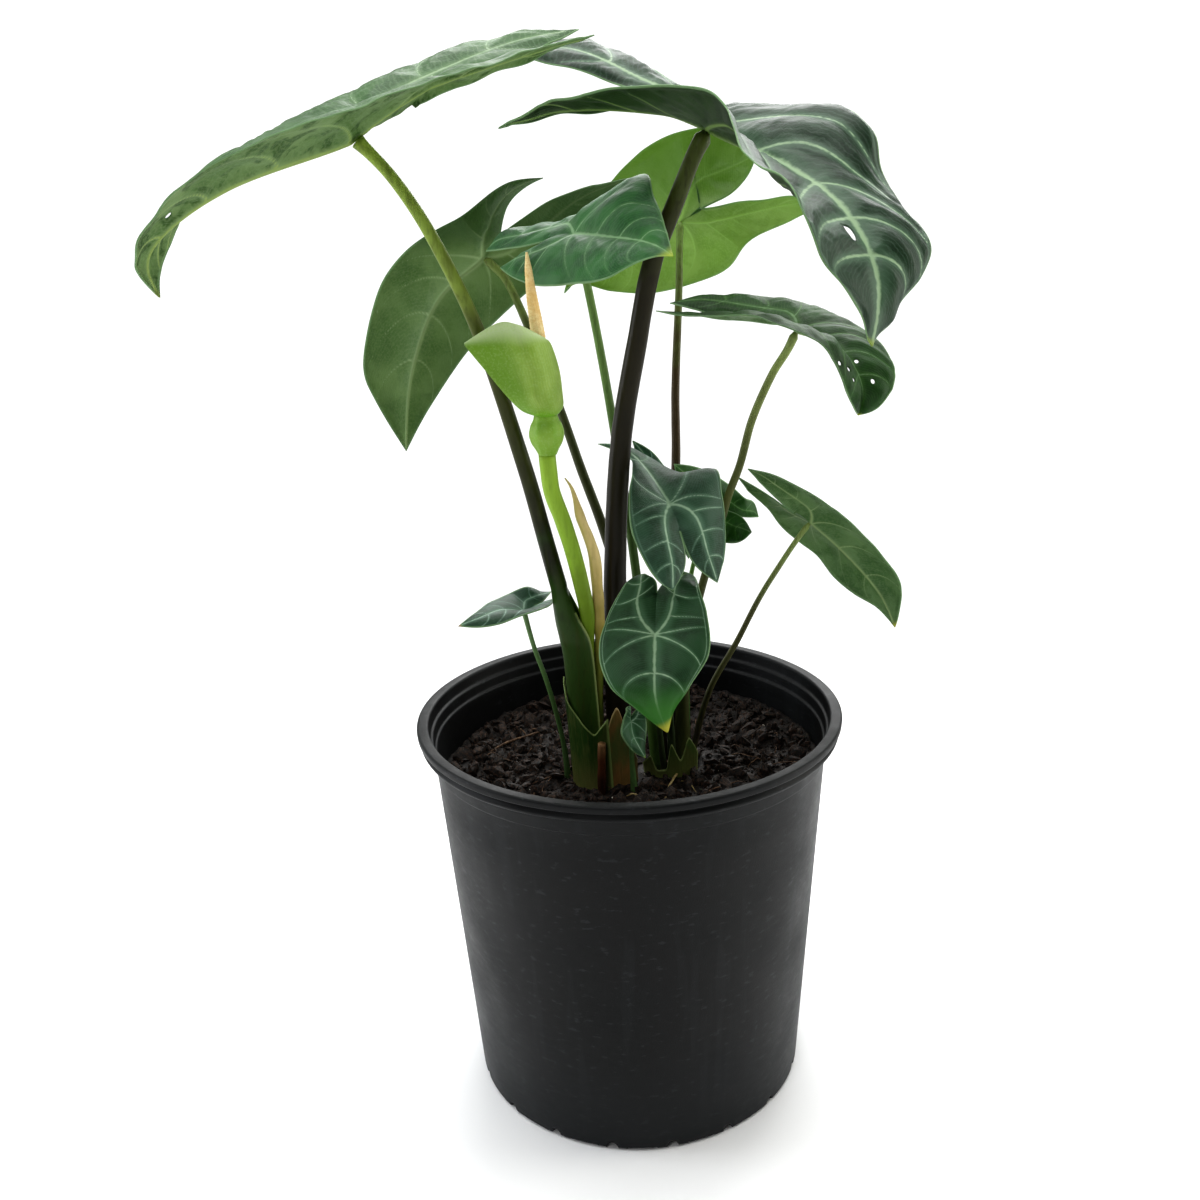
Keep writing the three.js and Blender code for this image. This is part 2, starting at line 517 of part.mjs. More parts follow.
// A petiole whose lower part is a gutter open towards +X. Each ring goes round the outside and
// comes back along the inside, which is the missing part of the circle where the stalk is solid.
function sheathingStalkGeometry({ route, radii, sheath }) {
  const half = GUTTER_HALF_SIDES;
  const mouth = radians(sheath.mouth);
  const rings = stations(route, GUTTER_STEP).map(({ centre, direction }) => {
    const [x, y] = crossAxes(direction);
    const radius = along(radii, centre.z);
    const open = along([[sheath.openBelow, 1], [sheath.closedAbove, 0]], centre.z);
    const sense = y.y < 0 ? -1 : 1;
    const at = (u, w) => centre.clone().addScaledVector(x, u).addScaledVector(y, sense * w);
    const outside = [];
    const inside = [];
    for (let k = 0; k <= half; k++) {
      const round = mix(mouth, 2 * Math.PI - mouth, k / half);
      const short = mix(mouth, -mouth, k / half);
      const hollow = radius - sheath.wall;
      outside.push(at(radius * Math.cos(round), radius * Math.sin(round)));
      inside.push(at(
        mix(radius * Math.cos(short), hollow * Math.cos(round), open),
        mix(radius * Math.sin(short), hollow * Math.sin(round), open),
      ));
    }
    return [...outside, ...inside.reverse()];
  });
  const cap = [];
  for (let k = 0; k < half; k++) {
    const far = 2 * half + 1 - k;
    cap.push([k, k + 1, far - 1], [k, far - 1, far]);
  }
  return loft(rings, cap);
}

function petioleGeometry(leaf) {
  const stalk = leaf.sheath ? sheathingStalkGeometry(leaf) : stalkGeometry(leaf.route, leaf.radii);
  const foot = leaf.ownFoot ? SOCKET_FLOOR + GAP : STALK_FOOT;
  return geometryOf(solidOf(stalk).subtract(bladeKeepOut(leaf)).trimByPlane([0, 0, 1], foot));
}

function seatedStalkGeometry({ route, radii }) {
  return geometryOf(solidOf(stalkGeometry(route, radii)).trimByPlane([0, 0, 1], STALK_FOOT));
}

// A body turned round the Z axis from [radius, height] pairs that start and end on it.
function turned(profile, sides) {
  const points = profile.map(([radius, height]) => new THREE.Vector2(radius, height));
  return new THREE.LatheGeometry(points, sides).rotateX(Math.PI / 2);
}

function potOuterRadius(z) {
  return mix(POT.baseRadius, POT.shoulderRadius, z / POT.shoulderHeight);
}

function potInnerRadius(z) {
  return potOuterRadius(z) - POT_WALL;
}

// The pot: tapered wall, a band and a bead under the flat lip, two ledges inside, a flat floor, and
// drain holes with raised stretches between them round the foot.
function potGeometry() {
  const { height, rimRadius, shoulderRadius, shoulderHeight, baseRadius } = POT;
  const profile = [
    [0, 0], [baseRadius - 1.2, 0], [potOuterRadius(1.4), 1.4], [shoulderRadius, shoulderHeight],
    [shoulderRadius + 1.6, shoulderHeight + 0.8], [shoulderRadius + 2.4, shoulderHeight + 8.5],
    [rimRadius - 1.8, shoulderHeight + 10.3], [rimRadius - 1.2, shoulderHeight + 12],
    [rimRadius - 2.8, shoulderHeight + 13.6], [rimRadius - 2.6, height - 4.2],
    [rimRadius - 0.2, height - 3.8], [rimRadius, height - 0.8], [rimRadius - 0.8, height],
    [rimRadius - 5.6, height], [rimRadius - 6.4, height - 0.8], [rimRadius - 6.9, height - 6.4],
    [shoulderRadius + 0.1, height - 7.2], [shoulderRadius - 0.2, height - 12.6],
    [shoulderRadius - 1.6, height - 13.4], [potInnerRadius(shoulderHeight), shoulderHeight - 1],
    [potInnerRadius(POT_FLOOR), POT_FLOOR], [0, POT_FLOOR],
  ];
  let pot = solidOf(turned(profile, POT_SIDES));
  const pitch = 360 / DRAINS.count;
  for (let k = 0; k < DRAINS.count; k++) {
    const angle = radians(DRAINS.firstAngle + pitch * k);
    const drain = new THREE.CylinderGeometry(DRAINS.radius, DRAINS.radius, 16, 12);
    drain.rotateZ(Math.PI / 2).translate(baseRadius, 0, DRAINS.height).rotateZ(angle);
    const slot = new THREE.BoxGeometry(2 * SLOTS.depth, SLOTS.width, 2 * SLOTS.height);
    slot.translate(baseRadius, 0, 0).rotateZ(angle + radians(pitch / 2));
    pot = pot.subtract(solidOf(drain)).subtract(solidOf(slot));
  }
  return geometryOf(pot);
}

const soilHeight = (radius, angle) =>
  SOIL.level
  + SOIL.rise * (radius / SOIL.edgeRadius) ** 2 * (0.5 + 0.5 * Math.cos(angle - radians(SOIL.riseAngle)));

// An upright body with an elliptical section: a corm, or the hole that it sits in.
function ellipticBody({ x, y, halfWidth, halfDepth }, profile) {
  return turned(profile, CLUMP_SIDES).scale(halfWidth, halfDepth, 1).translate(x, y, 0);
}

const cormProfile = (foot, top) => [
  [0, foot], [0.7, foot], [0.95, foot + 9], [1, foot + 20], [1, top], [0, top],
];

const widened = (clump, by) => ({
  ...clump, halfWidth: clump.halfWidth + by, halfDepth: clump.halfDepth + by,
});

// The soil fills the pot and rises towards the back and right wall. The corms, the sheaths round
// them and the stalks with a foot of their own stand in hollows of it.
function soilGeometry() {
  const rings = [0, 1, 2, 3, 4, 5, 6].map(() => []);
  const floor = POT_FLOOR + GAP;
  for (let k = 0; k < POT_SIDES; k++) {
    const angle = Math.PI / 2 - (2 * Math.PI * k) / POT_SIDES;
    const at = (radius, z) => new THREE.Vector3(radius * Math.cos(angle), radius * Math.sin(angle), z);
    const top = soilHeight(SOIL.edgeRadius, angle);
    rings[0].push(new THREE.Vector3(0, 0, floor));
    rings[1].push(at(potInnerRadius(floor) - SOIL.wallGap, floor));
    rings[2].push(at(potInnerRadius(top) - SOIL.wallGap, top));
    [80, 60, 40].forEach((radius, i) => rings[3 + i].push(at(radius, soilHeight(radius, angle))));
    rings[6].push(new THREE.Vector3(0, 0, SOIL.level));
  }
  let soil = solidOf(loft(rings));
  const well = (radius) => [[0, SOCKET_FLOOR], [radius, SOCKET_FLOOR], [radius, ABOVE_SOIL], [0, ABOVE_SOIL]];
  for (const clump of [LEFT_CLUMP, RIGHT_CLUMP]) {
    const corm = ellipticBody(widened(clump, GAP), cormProfile(CROWN_FOOT - GAP, ABOVE_SOIL));
    const collar = ellipticBody(widened(clump, SHEATH_STANDOFF + SHEATH_THICKNESS + 2 * GAP), well(1));
    soil = soil.subtract(solidOf(corm)).subtract(solidOf(collar));
  }
  for (const [route, radius] of ownFeet()) {
    const [x, y] = route[route.length - 1];
    const socket = turned(well(radius), 2 * STALK_SIDES);
    soil = soil.subtract(solidOf(socket.translate(x, y, 0)));
  }
  return geometryOf(soil);
}

// The stalks that stand in the soil on their own, each with the radius of its hollow.
function ownFeet() {
  const feet = Object.values(LEAVES).filter((leaf) => leaf.ownFoot)
    .map((leaf) => [leaf.route, along(leaf.radii, SOCKET_FLOOR) + SOCKET_CLEARANCE]);
  return [...feet, [CUT_STUB.route, CUT_STUB.radius + SOCKET_CLEARANCE]];
}

function crownGeometry(clump) {
  return ellipticBody(clump, cormProfile(CROWN_FOOT, CROWN_TOP));
}

// A leaf base wrapped part of the way round a clump, leaning with it.
function wrapGeometry({ clump, top }) {
  const foot = SOCKET_FLOOR + 2 * GAP;
  const [start, end] = [top[0][0], top[top.length - 1][0]];
  const steps = Math.round((end - start) / SHEATH_STEP_ANGLE);
  const inset = SHEATH_STANDOFF + SHEATH_THICKNESS / 2;
  const grid = [];
  for (let i = 0; i <= steps; i++) {
    const degrees = mix(start, end, i / steps);
    const angle = radians(degrees);
    const height = along(top, degrees);
    grid.push([0, 1, 2, 3].map((j) => {
      const z = mix(foot, height, j / 3);
      const lean = Math.max(z - SHEATH_LEAN.from, 0) * (clump === LEFT_CLUMP ? 1 : 0);
      return new THREE.Vector3(
        clump.x + SHEATH_LEAN.x * lean + (clump.halfWidth + inset) * Math.cos(angle),
        clump.y + SHEATH_LEAN.y * lean + (clump.halfDepth + inset) * Math.sin(angle),
        z,
      );
    }));
  }
  return thickened([grid], [false], SHEATH_THICKNESS / 2, SHEATH_THICKNESS / 2);
}

// A grid of points with one more between each two neighbours of a column, and its rows and columns
// changed over, so that doing it twice makes the grid finer both ways.
function twiceAsFine(rows) {
  const knots = rows.map((_, i) => i);
  const count = 2 * rows.length - 1;
  return rows[0].map((_, j) => {
    const column = rows.map((row) => row[j]);
    return Array.from({ length: count }, (_, i) => curveAt(knots, column, i / 2));
  });
}

// The spathe is one piece: the tube and its neck, and the thin cowl that grows from the neck's
// front. The cowl's net of points is made twice as fine each way by curves through them.
function spatheGeometry() {
  const rings = SPATHE_TUBE.map(([z, radius]) => Array.from({ length: SPATHE_SIDES }, (_, k) => {
    const angle = (2 * Math.PI * k) / SPATHE_SIDES;
    const [x, y] = [radius * Math.cos(angle), radius * Math.sin(angle)];
    return new THREE.Vector3(SPATHE_AXIS.x + x, SPATHE_AXIS.y + y, z);
  }));
  const tube = solidOf(loft(rings, fanCap(SPATHE_SIDES)));
  const grid = twiceAsFine(twiceAsFine(COWL.map((row) => row.map(vec))));
  const cowl = solidOf(thickened([grid], [false], COWL_THICKNESS / 2, COWL_THICKNESS / 2));
  return geometryOf(tube.add(cowl));
}

function material(colour, roughness) {
  return new THREE.MeshStandardMaterial({ color: COLOURS[colour], roughness, metalness: 0 });
}

const plant = new THREE.Group();

function place(name, geometry, colour, roughness) {
  const mesh = new THREE.Mesh(geometry, material(colour, roughness));
  mesh.name = name;
  plant.add(mesh);
}

place("pot", potGeometry(), "pot", 0.45);
place("soil", soilGeometry(), "soil", 0.95);
place("crown_left", crownGeometry(LEFT_CLUMP), "crown", 0.85);
place("crown_right", crownGeometry(RIGHT_CLUMP), "crown", 0.85);
const paleLeaves = ["leaf_03", "leaf_05", "leaf_12", "leaf_13"];
const greenStalks = ["leaf_01", "leaf_10", "leaf_12", "leaf_13"];
for (const [name, leaf] of Object.entries(LEAVES)) {
  place(name + "_blade", bladeGeometry(leaf), paleLeaves.includes(name) ? "paleBlade" : "blade", 0.45);
  const stalkColour = greenStalks.includes(name) ? "greenPetiole" : "petiole";
  place(name + "_petiole", petioleGeometry(leaf), stalkColour, 0.5);
}
place("peduncle", seatedStalkGeometry(PEDUNCLE), "peduncle", 0.5);
place("cataphyll", seatedStalkGeometry(CATAPHYLL), "spadix", 0.7);
place("spathe", spatheGeometry(), "spathe", 0.5);
place("spadix", stalkGeometry(SPADIX.route, SPADIX.radii, 8, 6), "spadix", 0.7);
for (const [name, sheath] of Object.entries(SHEATHS)) place(name, wrapGeometry(sheath), sheath.colour, 0.6);
const stub = stalkGeometry(CUT_STUB.route, [[0, CUT_STUB.radius]], 10);
place("cut_stub", geometryOf(solidOf(stub).trimByPlane([0, 0, 1], SOCKET_FLOOR + GAP)), "husk", 0.8);

export default plant;
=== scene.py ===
# %% [markdown]
# # A potted alocasia longiloba
# An aroid house plant in a black nursery pot: thirteen arrow-shaped leaves on long petioles, one
# inflorescence, and the soil that holds them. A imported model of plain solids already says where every
# piece is. This lesson gives each of them its finished surface, in the same frame, with +Z up and the
# plant's best side towards -Y.

# %% Load the frame
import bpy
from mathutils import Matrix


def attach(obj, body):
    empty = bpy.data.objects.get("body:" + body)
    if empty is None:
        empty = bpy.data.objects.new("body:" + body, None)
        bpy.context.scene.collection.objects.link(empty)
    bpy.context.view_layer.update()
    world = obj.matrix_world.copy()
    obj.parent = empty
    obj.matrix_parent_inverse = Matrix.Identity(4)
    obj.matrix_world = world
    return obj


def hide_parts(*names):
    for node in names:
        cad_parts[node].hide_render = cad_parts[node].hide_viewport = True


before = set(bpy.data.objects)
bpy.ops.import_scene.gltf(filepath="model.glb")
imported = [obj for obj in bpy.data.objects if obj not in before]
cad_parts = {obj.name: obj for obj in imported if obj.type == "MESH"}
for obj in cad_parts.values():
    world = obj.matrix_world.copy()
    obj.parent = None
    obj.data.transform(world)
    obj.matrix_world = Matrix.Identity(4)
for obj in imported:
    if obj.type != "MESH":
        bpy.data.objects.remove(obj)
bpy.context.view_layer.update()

# %% [markdown]
# ## Tools
# A plant could be modelled by hand with sculpting brushes, but its leaves have to lie where the packed
# solids lie, and a rule is easier to check and repeat than a stroke. So shapes are worked out as whole
# numpy arrays, in millimetres, and turned to metres when a mesh is made. A surface is a grid of points,
# and a face is four numbers of points, where a triangle repeats its last one.

# %% Units and colours
import bpy
import numpy as np
from mathutils import Matrix

MM = 0.001


def linear(code):
    """The linear colour of an sRGB hex value: a part over about 0.04 is raised to the power 2.4."""
    parts = np.array([int(code[i:i + 2], 16) for i in (1, 3, 5)]) / 255
    curved = ((parts + 0.055) / 1.055) ** 2.4
    return (*np.where(parts <= 0.04045, parts / 12.92, curved).tolist(), 1.0)


print("mid grey in linear light:", round(linear("#808080")[0], 3))

# %% [markdown]
# A material is a tree of nodes. One helper adds a node, sets its own values, and fills its sockets with
# numbers or with what another node gives. The trees could be drawn in the shader editor instead, but in
# code each colour and size can be read beside the part of the plant that it belongs to.

# %% A node with its settings and links
def add(tree, kind, sockets=None, **settings):
    """Adds a node and returns it. sockets gives a value, or a socket to link from, by name or number."""
    node = tree.nodes.new(kind)
    for name, value in settings.items():
        setattr(node, name, value)
    for key, value in (sockets or {}).items():
        if isinstance(value, bpy.types.NodeSocket):
            tree.links.new(value, node.inputs[key])
        else:
            node.inputs[key].default_value = value
    return node


def blank_material(name):
    """A material with an empty node tree, and its tree."""
    material = bpy.data.materials.new(name)
    material.use_nodes = True
    material.node_tree.nodes.clear()
    return material, material.node_tree


print("materials before the first piece:", len(bpy.data.materials))

# %% [markdown]
# Two halves of a leaf meet along the midrib, and the rows of a blade shrink to a point at its tip. Points
# that fall on each other are joined, and a face that loses a corner becomes a triangle, so that every
# seam and pole is closed. Blender's own merge by distance would do this too, but here it also says where
# each kept point came from, and so the values on the points stay with them.

# %% Grids, welding and turning outwards
def grid_faces(rows, columns, wrap=False):
    """Faces of a grid of points numbered row by row, each going down a row and then along. With wrap,
    the last column joins the first."""
    number = np.arange(rows * columns).reshape(rows, columns)
    if wrap:
        number = np.hstack([number, number[:, :1]])
    corners = [number[:-1, :-1], number[1:, :-1], number[1:, 1:], number[:-1, 1:]]
    return np.stack(corners, -1).reshape(-1, 4)


def welded(points, faces, tolerance=1e-4):
    """Joins points closer than the tolerance. A face with one pair of equal corners is turned so that
    the pair comes last, and one with more is dropped. Also returns where each kept point came from."""
    keys = np.round(np.asarray(points) / tolerance).astype(np.int64)
    _, first, number = np.unique(keys, axis=0, return_index=True, return_inverse=True)
    faces = number.reshape(-1)[faces]
    same = faces == np.roll(faces, -1, axis=1)
    faces, same = faces[same.sum(1) < 2], same[same.sum(1) < 2]
    turn = np.where(same.any(1), same.argmax(1) - 2, 0)
    faces = np.take_along_axis(faces, (np.arange(4) + turn[:, None]) % 4, axis=1)
    return np.asarray(points)[first], faces, first


def turned_over(faces):
    """The same faces seen from the other side. A triangle keeps its repeated corner last."""
    triangle = faces[:, 2] == faces[:, 3]
    return np.where(triangle[:, None], faces[:, [2, 1, 0, 0]], faces[:, ::-1])


def outward(points, faces):
    """A closed surface with its faces pointing out: the sum of the volumes of the cones from the origin
    to each face is positive then."""
    a, b, c, d = (points[faces[:, k]] for k in range(4))
    volume = (np.cross(b, c) * a).sum() + (np.cross(c, d) * a).sum()
    return faces if volume > 0 else turned_over(faces)


def closed_surface(rings, poles=None):
    """A closed surface from rings of points, each joined to itself and to the next. The first and last
    rings are points already, or poles gives the two points that close them. Also returns where each kept
    point came from."""
    if poles is not None:
        ends = [np.repeat(pole[None, None], rings.shape[1], 1) for pole in poles]
        rings = np.concatenate([ends[0], rings, ends[1]])
    points, faces, first = welded(rings.reshape(-1, 3), grid_faces(*rings.shape[:2], wrap=True))
    return points, outward(points, faces), first


print("a grid of 3 by 4 points has", len(grid_faces(3, 4)), "faces, and wrapped", len(grid_faces(3, 4, True)))

# %% [markdown]
# A leaf has two skins with tissue between them. The Solidify modifier could add the second skin, but the
# ribs stand out on the underside only, so each skin needs its own distance from the middle sheet.

# %% Normals and thickness
def normals_of(points, faces):
    """The unit normal at each point: the sum of the cross products of its faces' diagonals."""
    cross = np.cross(points[faces[:, 2]] - points[faces[:, 0]], points[faces[:, 3]] - points[faces[:, 1]])
    triangle = faces[:, 2] == faces[:, 3]
    sides = np.cross(points[faces[:, 1]] - points[faces[:, 0]], points[faces[:, 2]] - points[faces[:, 0]])
    cross[triangle] = sides[triangle]
    total = np.zeros_like(points)
    for k in range(4):
        np.add.at(total, faces[:, k], cross)
    return total / np.maximum(np.linalg.norm(total, axis=1, keepdims=True), 1e-9)


def thickened(points, faces, above, below):
    """A closed shell from a sheet: one skin lies above it along its normals, the other below it, and a
    rim joins them at each edge that only one face has. Returns points, faces, and each face's side."""
    normals = normals_of(points, faces)
    count = len(points)
    skins = np.vstack([points + normals * above, points - normals * below])
    start = faces.reshape(-1)
    end = np.roll(faces, -1, axis=1).reshape(-1)
    start, end = start[start != end], end[start != end]
    code = np.minimum(start, end) * count + np.maximum(start, end)
    _, which, times = np.unique(code, return_inverse=True, return_counts=True)
    open_edge = times[which.reshape(-1)] == 1
    start, end = start[open_edge], end[open_edge]
    rim = np.stack([end, start, start + count, end + count], 1)
    side = np.repeat([0, 1, 0], [len(faces), len(faces), len(rim)])
    return skins, np.vstack([faces, turned_over(faces + count), rim]), side


square = np.array([[0, 0, 0], [0, 1, 0], [1, 0, 0], [1, 1, 0]], float)
print("a square sheet's shell has", len(thickened(square, grid_faces(2, 2), 0.1, 0.1)[1]), "faces")

# %% [markdown]
# Pieces ride on the plant's one body, take the place of their plain solids, and carry values on their
# points, such as the distance to a vein, that the materials read as attributes. A texture painted on an
# unwrapped leaf would also work, but a value on the mesh stays sharp and needs no picture.

# %% Make a piece
def make_piece(name, points, faces, materials, values=None, side=None, slot=None, nodes=(), smooth=True):
    """A mesh object from points in millimetres and faces as rows of four point numbers, shaded smooth
    unless it is a sharp-cornered one. side gives each face's material, values the points' attributes."""
    kept = np.ones(faces.shape, bool)
    kept[:, 3] = faces[:, 2] != faces[:, 3]
    sizes = kept.sum(1)
    mesh = bpy.data.meshes.new(name)
    mesh.vertices.add(len(points))
    mesh.vertices.foreach_set("co", (np.asarray(points) * MM).astype(np.float32).ravel())
    mesh.loops.add(int(sizes.sum()))
    mesh.loops.foreach_set("vertex_index", faces[kept].astype(np.int32))
    mesh.polygons.add(len(faces))
    mesh.polygons.foreach_set("loop_start", np.r_[0, np.cumsum(sizes)[:-1]].astype(np.int32))
    mesh.polygons.foreach_set("use_smooth", np.full(len(faces), smooth))
    for material in materials:
        mesh.materials.append(material)
    if side is not None:
        mesh.polygons.foreach_set("material_index", side.astype(np.int32))
    mesh.update(calc_edges=True)
    for key, value in (values or {}).items():
        layer = mesh.attributes.new(name=key, type="FLOAT", domain="POINT")
        layer.data.foreach_set("value", np.asarray(value, np.float32))
    piece = bpy.data.objects.new(name, mesh)
    bpy.context.scene.collection.objects.link(piece)
    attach(piece, "root")
    if nodes:
        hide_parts(*nodes)
    print(f"{name}: {len(points)} points, {int((sizes - 2).sum())} triangles")
    return piece


# %% [markdown]
# Stalks, ribs and margins are smooth curves through a few points. Blender's Bezier curves need handles as
# well. This curve is cubic between two points, and its slope at a point comes from the two neighbours, so
# it passes through every point that was chosen and needs nothing else.

# %% Curves and waves
def curve_through(knots, points, at):
    """Values at the given places of a cubic curve through points at rising knots. A slope is that from
    the neighbour before to the one after, and at an end 1.5 times the first step less half of that."""
    knots, points, at = np.asarray(knots, float), np.asarray(points, float), np.asarray(at, float)
    slopes = np.empty_like(points)
    slopes[1:-1] = (points[2:] - points[:-2]) / (knots[2:] - knots[:-2])[:, None]
    slopes[0] = 1.5 * (points[1] - points[0]) / (knots[1] - knots[0]) - 0.5 * slopes[1]
    slopes[-1] = 1.5 * (points[-1] - points[-2]) / (knots[-1] - knots[-2]) - 0.5 * slopes[-2]
    i = np.clip(np.searchsorted(knots, at, side="right") - 1, 0, len(knots) - 2)
    span = (knots[i + 1] - knots[i])[..., None]
    s = (at - knots[i])[..., None] / span
    here = points[i] * (2 * s**3 - 3 * s**2 + 1) + points[i + 1] * (3 * s**2 - 2 * s**3)
    return here + span * (slopes[i] * (s**3 - 2 * s**2 + s) + slopes[i + 1] * (s**3 - s**2))


def waves(points, length, seed, count=9):
    """A smooth random field between about -1 and 1: the mean of sine waves of about the given length
    in random directions."""
    draw = np.random.default_rng(seed)
    ways = draw.normal(size=(3, count))
    ways *= 2 * np.pi / length / np.linalg.norm(ways, axis=0) * draw.uniform(0.6, 1.5, count)
    return np.sin(np.asarray(points) @ ways + draw.uniform(0, 2 * np.pi, count)).mean(-1) * 1.8


def smooth_step(x, low, high):
    """0 below low, 1 above high, and 3 s squared less 2 s cubed between them."""
    s = np.clip((x - low) / (high - low), 0, 1)
    return s * s * (3 - 2 * s)


print("half-way through a bend:", curve_through([0, 1, 2], [[0, 0], [1, 1], [2, 0]], [0.5]).round(3).tolist())

# %% [markdown]
# A stalk is a round section carried along its route. A bevelled curve would give the same tube, but not
# the flare under the blade or the slight unevenness of something grown.

# %% The stalk surface
def stations(route, step):
    """Centres along a smooth route about every step millimetres, the two axes square to it there, the
    first as near +X as it can be, and the share of the route's length up to each."""
    points = np.array(route, float)
    knots = np.r_[0, np.cumsum(np.linalg.norm(np.diff(points, axis=0), axis=1))]
    at = np.linspace(0, knots[-1], max(8, round(knots[-1] / step)) + 1)
    ahead = curve_through(knots, points, np.minimum(at + 0.5, knots[-1]))
    behind = curve_through(knots, points, np.maximum(at - 0.5, 0))
    direction = (ahead - behind) / np.linalg.norm(ahead - behind, axis=1, keepdims=True)
    x = np.array([1.0, 0, 0]) - direction * direction[:, :1]
    x /= np.linalg.norm(x, axis=1, keepdims=True)
    return curve_through(knots, points, at), x, np.cross(direction, x), at / knots[-1]


def value_at(pairs, z):
    """Straight between [height, value] pairs."""
    table = np.array(sorted(pairs), float)
    return np.interp(z, table[:, 0], table[:, 1])


def angles(count):
    """Angles evenly round a circle."""
    return np.linspace(0, 2 * np.pi, count, endpoint=False)


def spokes(x, y, sides):
    """Unit vectors round each station: the cosine of the angle along one axis, the sine along the other."""
    angle = angles(sides)[None, :, None]
    return np.cos(angle) * x[:, None] + np.sin(angle) * y[:, None]


def stalk(route, radii, sides=20, step=3.0, flare=0.0, ripple=0.02):
    """A round stalk: circles square to the route, closed by a point at both ends. Towards the start the
    radius grows by the share flare, and then draws in to meet the blade; ripple is its unevenness. Also
    returns each point's share of the length, counted from the foot."""
    centre, x, y, share = stations(route, step)
    radius = value_at(radii, centre[:, 2])
    distance = share * len(share) * step
    radius = radius * (1 + flare * np.exp(-distance / 5))
    if flare:
        radius = radius * (0.4 + 0.6 * np.clip(distance / 3.5, 0, 1) ** 0.5)
    ring = spokes(x, y, sides)
    points = centre[:, None] + ring * radius[:, None, None]
    uneven = waves(points.reshape(-1, 3), 14, 3).reshape(ring.shape[:2])
    points += ring * (ripple * radius[:, None] * uneven)[..., None]
    points, faces, first = closed_surface(points, centre[[0, -1]])
    return points, faces, np.repeat(1 - np.r_[0, share, 1], sides)[first]


print("a short stalk has", len(stalk([[0, 0, 90], [0, 10, 50], [0, 0, 0]], [[0, 3], [90, 2]])[0]), "points")

# %% [markdown]
# ## The camera
# The photograph was taken from a little above the rim, looking 18 degrees down. The camera comes first,
# because everything else is judged through it. It could be aimed with a constraint at the pot, but its
# slight roll would be lost, so its three angles are turned into a matrix.

# %% Camera
CAMERA_PLACE = (0.0, -0.614, 0.476)
CAMERA_YAW = -1.2
CAMERA_PITCH = 18.2
CAMERA_ROLL = -2.3
CAMERA_LENS = 36.87


def camera_axes(yaw, pitch, roll):
    """Right, up and backward directions: yaw turns about +Z, pitch looks down, roll turns the picture."""
    yaw, pitch, roll = np.radians([yaw, pitch, roll])
    forward = np.array([np.sin(yaw) * np.cos(pitch), np.cos(yaw) * np.cos(pitch), -np.sin(pitch)])
    level = np.array([np.cos(yaw), -np.sin(yaw), 0])
    upright = np.cross(level, forward)
    right = level * np.cos(roll) + upright * np.sin(roll)
    return right, np.cross(-forward, right), -forward


def placed(axes, place):
    """The matrix that stands an object at a place, in metres, with its own axes along the three given."""
    turn = np.eye(4)
    turn[:3, :3] = np.stack(axes, 1)
    turn[:3, 3] = place
    return Matrix(turn.tolist())


camera = bpy.data.objects.new("camera", bpy.data.cameras.new("camera"))
camera.data.lens = CAMERA_LENS
camera.matrix_world = placed(camera_axes(CAMERA_YAW, CAMERA_PITCH, CAMERA_ROLL), CAMERA_PLACE)
bpy.context.scene.collection.objects.link(camera)
bpy.context.scene.camera = camera
print("camera at", CAMERA_PLACE)

# %% [markdown]
# ## The leaves
# A blade is laid out as its plain solid is: a midline from the tip over the junction with the petiole to
# the bottom of the sinus, and a margin for each half. Row 0 is the tip, row 3 is level with the junction,
# row 4 with the sinus, and row 6 is the end of the back lobe. The points are in millimetres. They were
# chosen leaf by leaf, because leaves of one plant differ more than one rule with random changes would
# show. A route is the middle of the petiole from the blade down, and radii are its [height, radius].

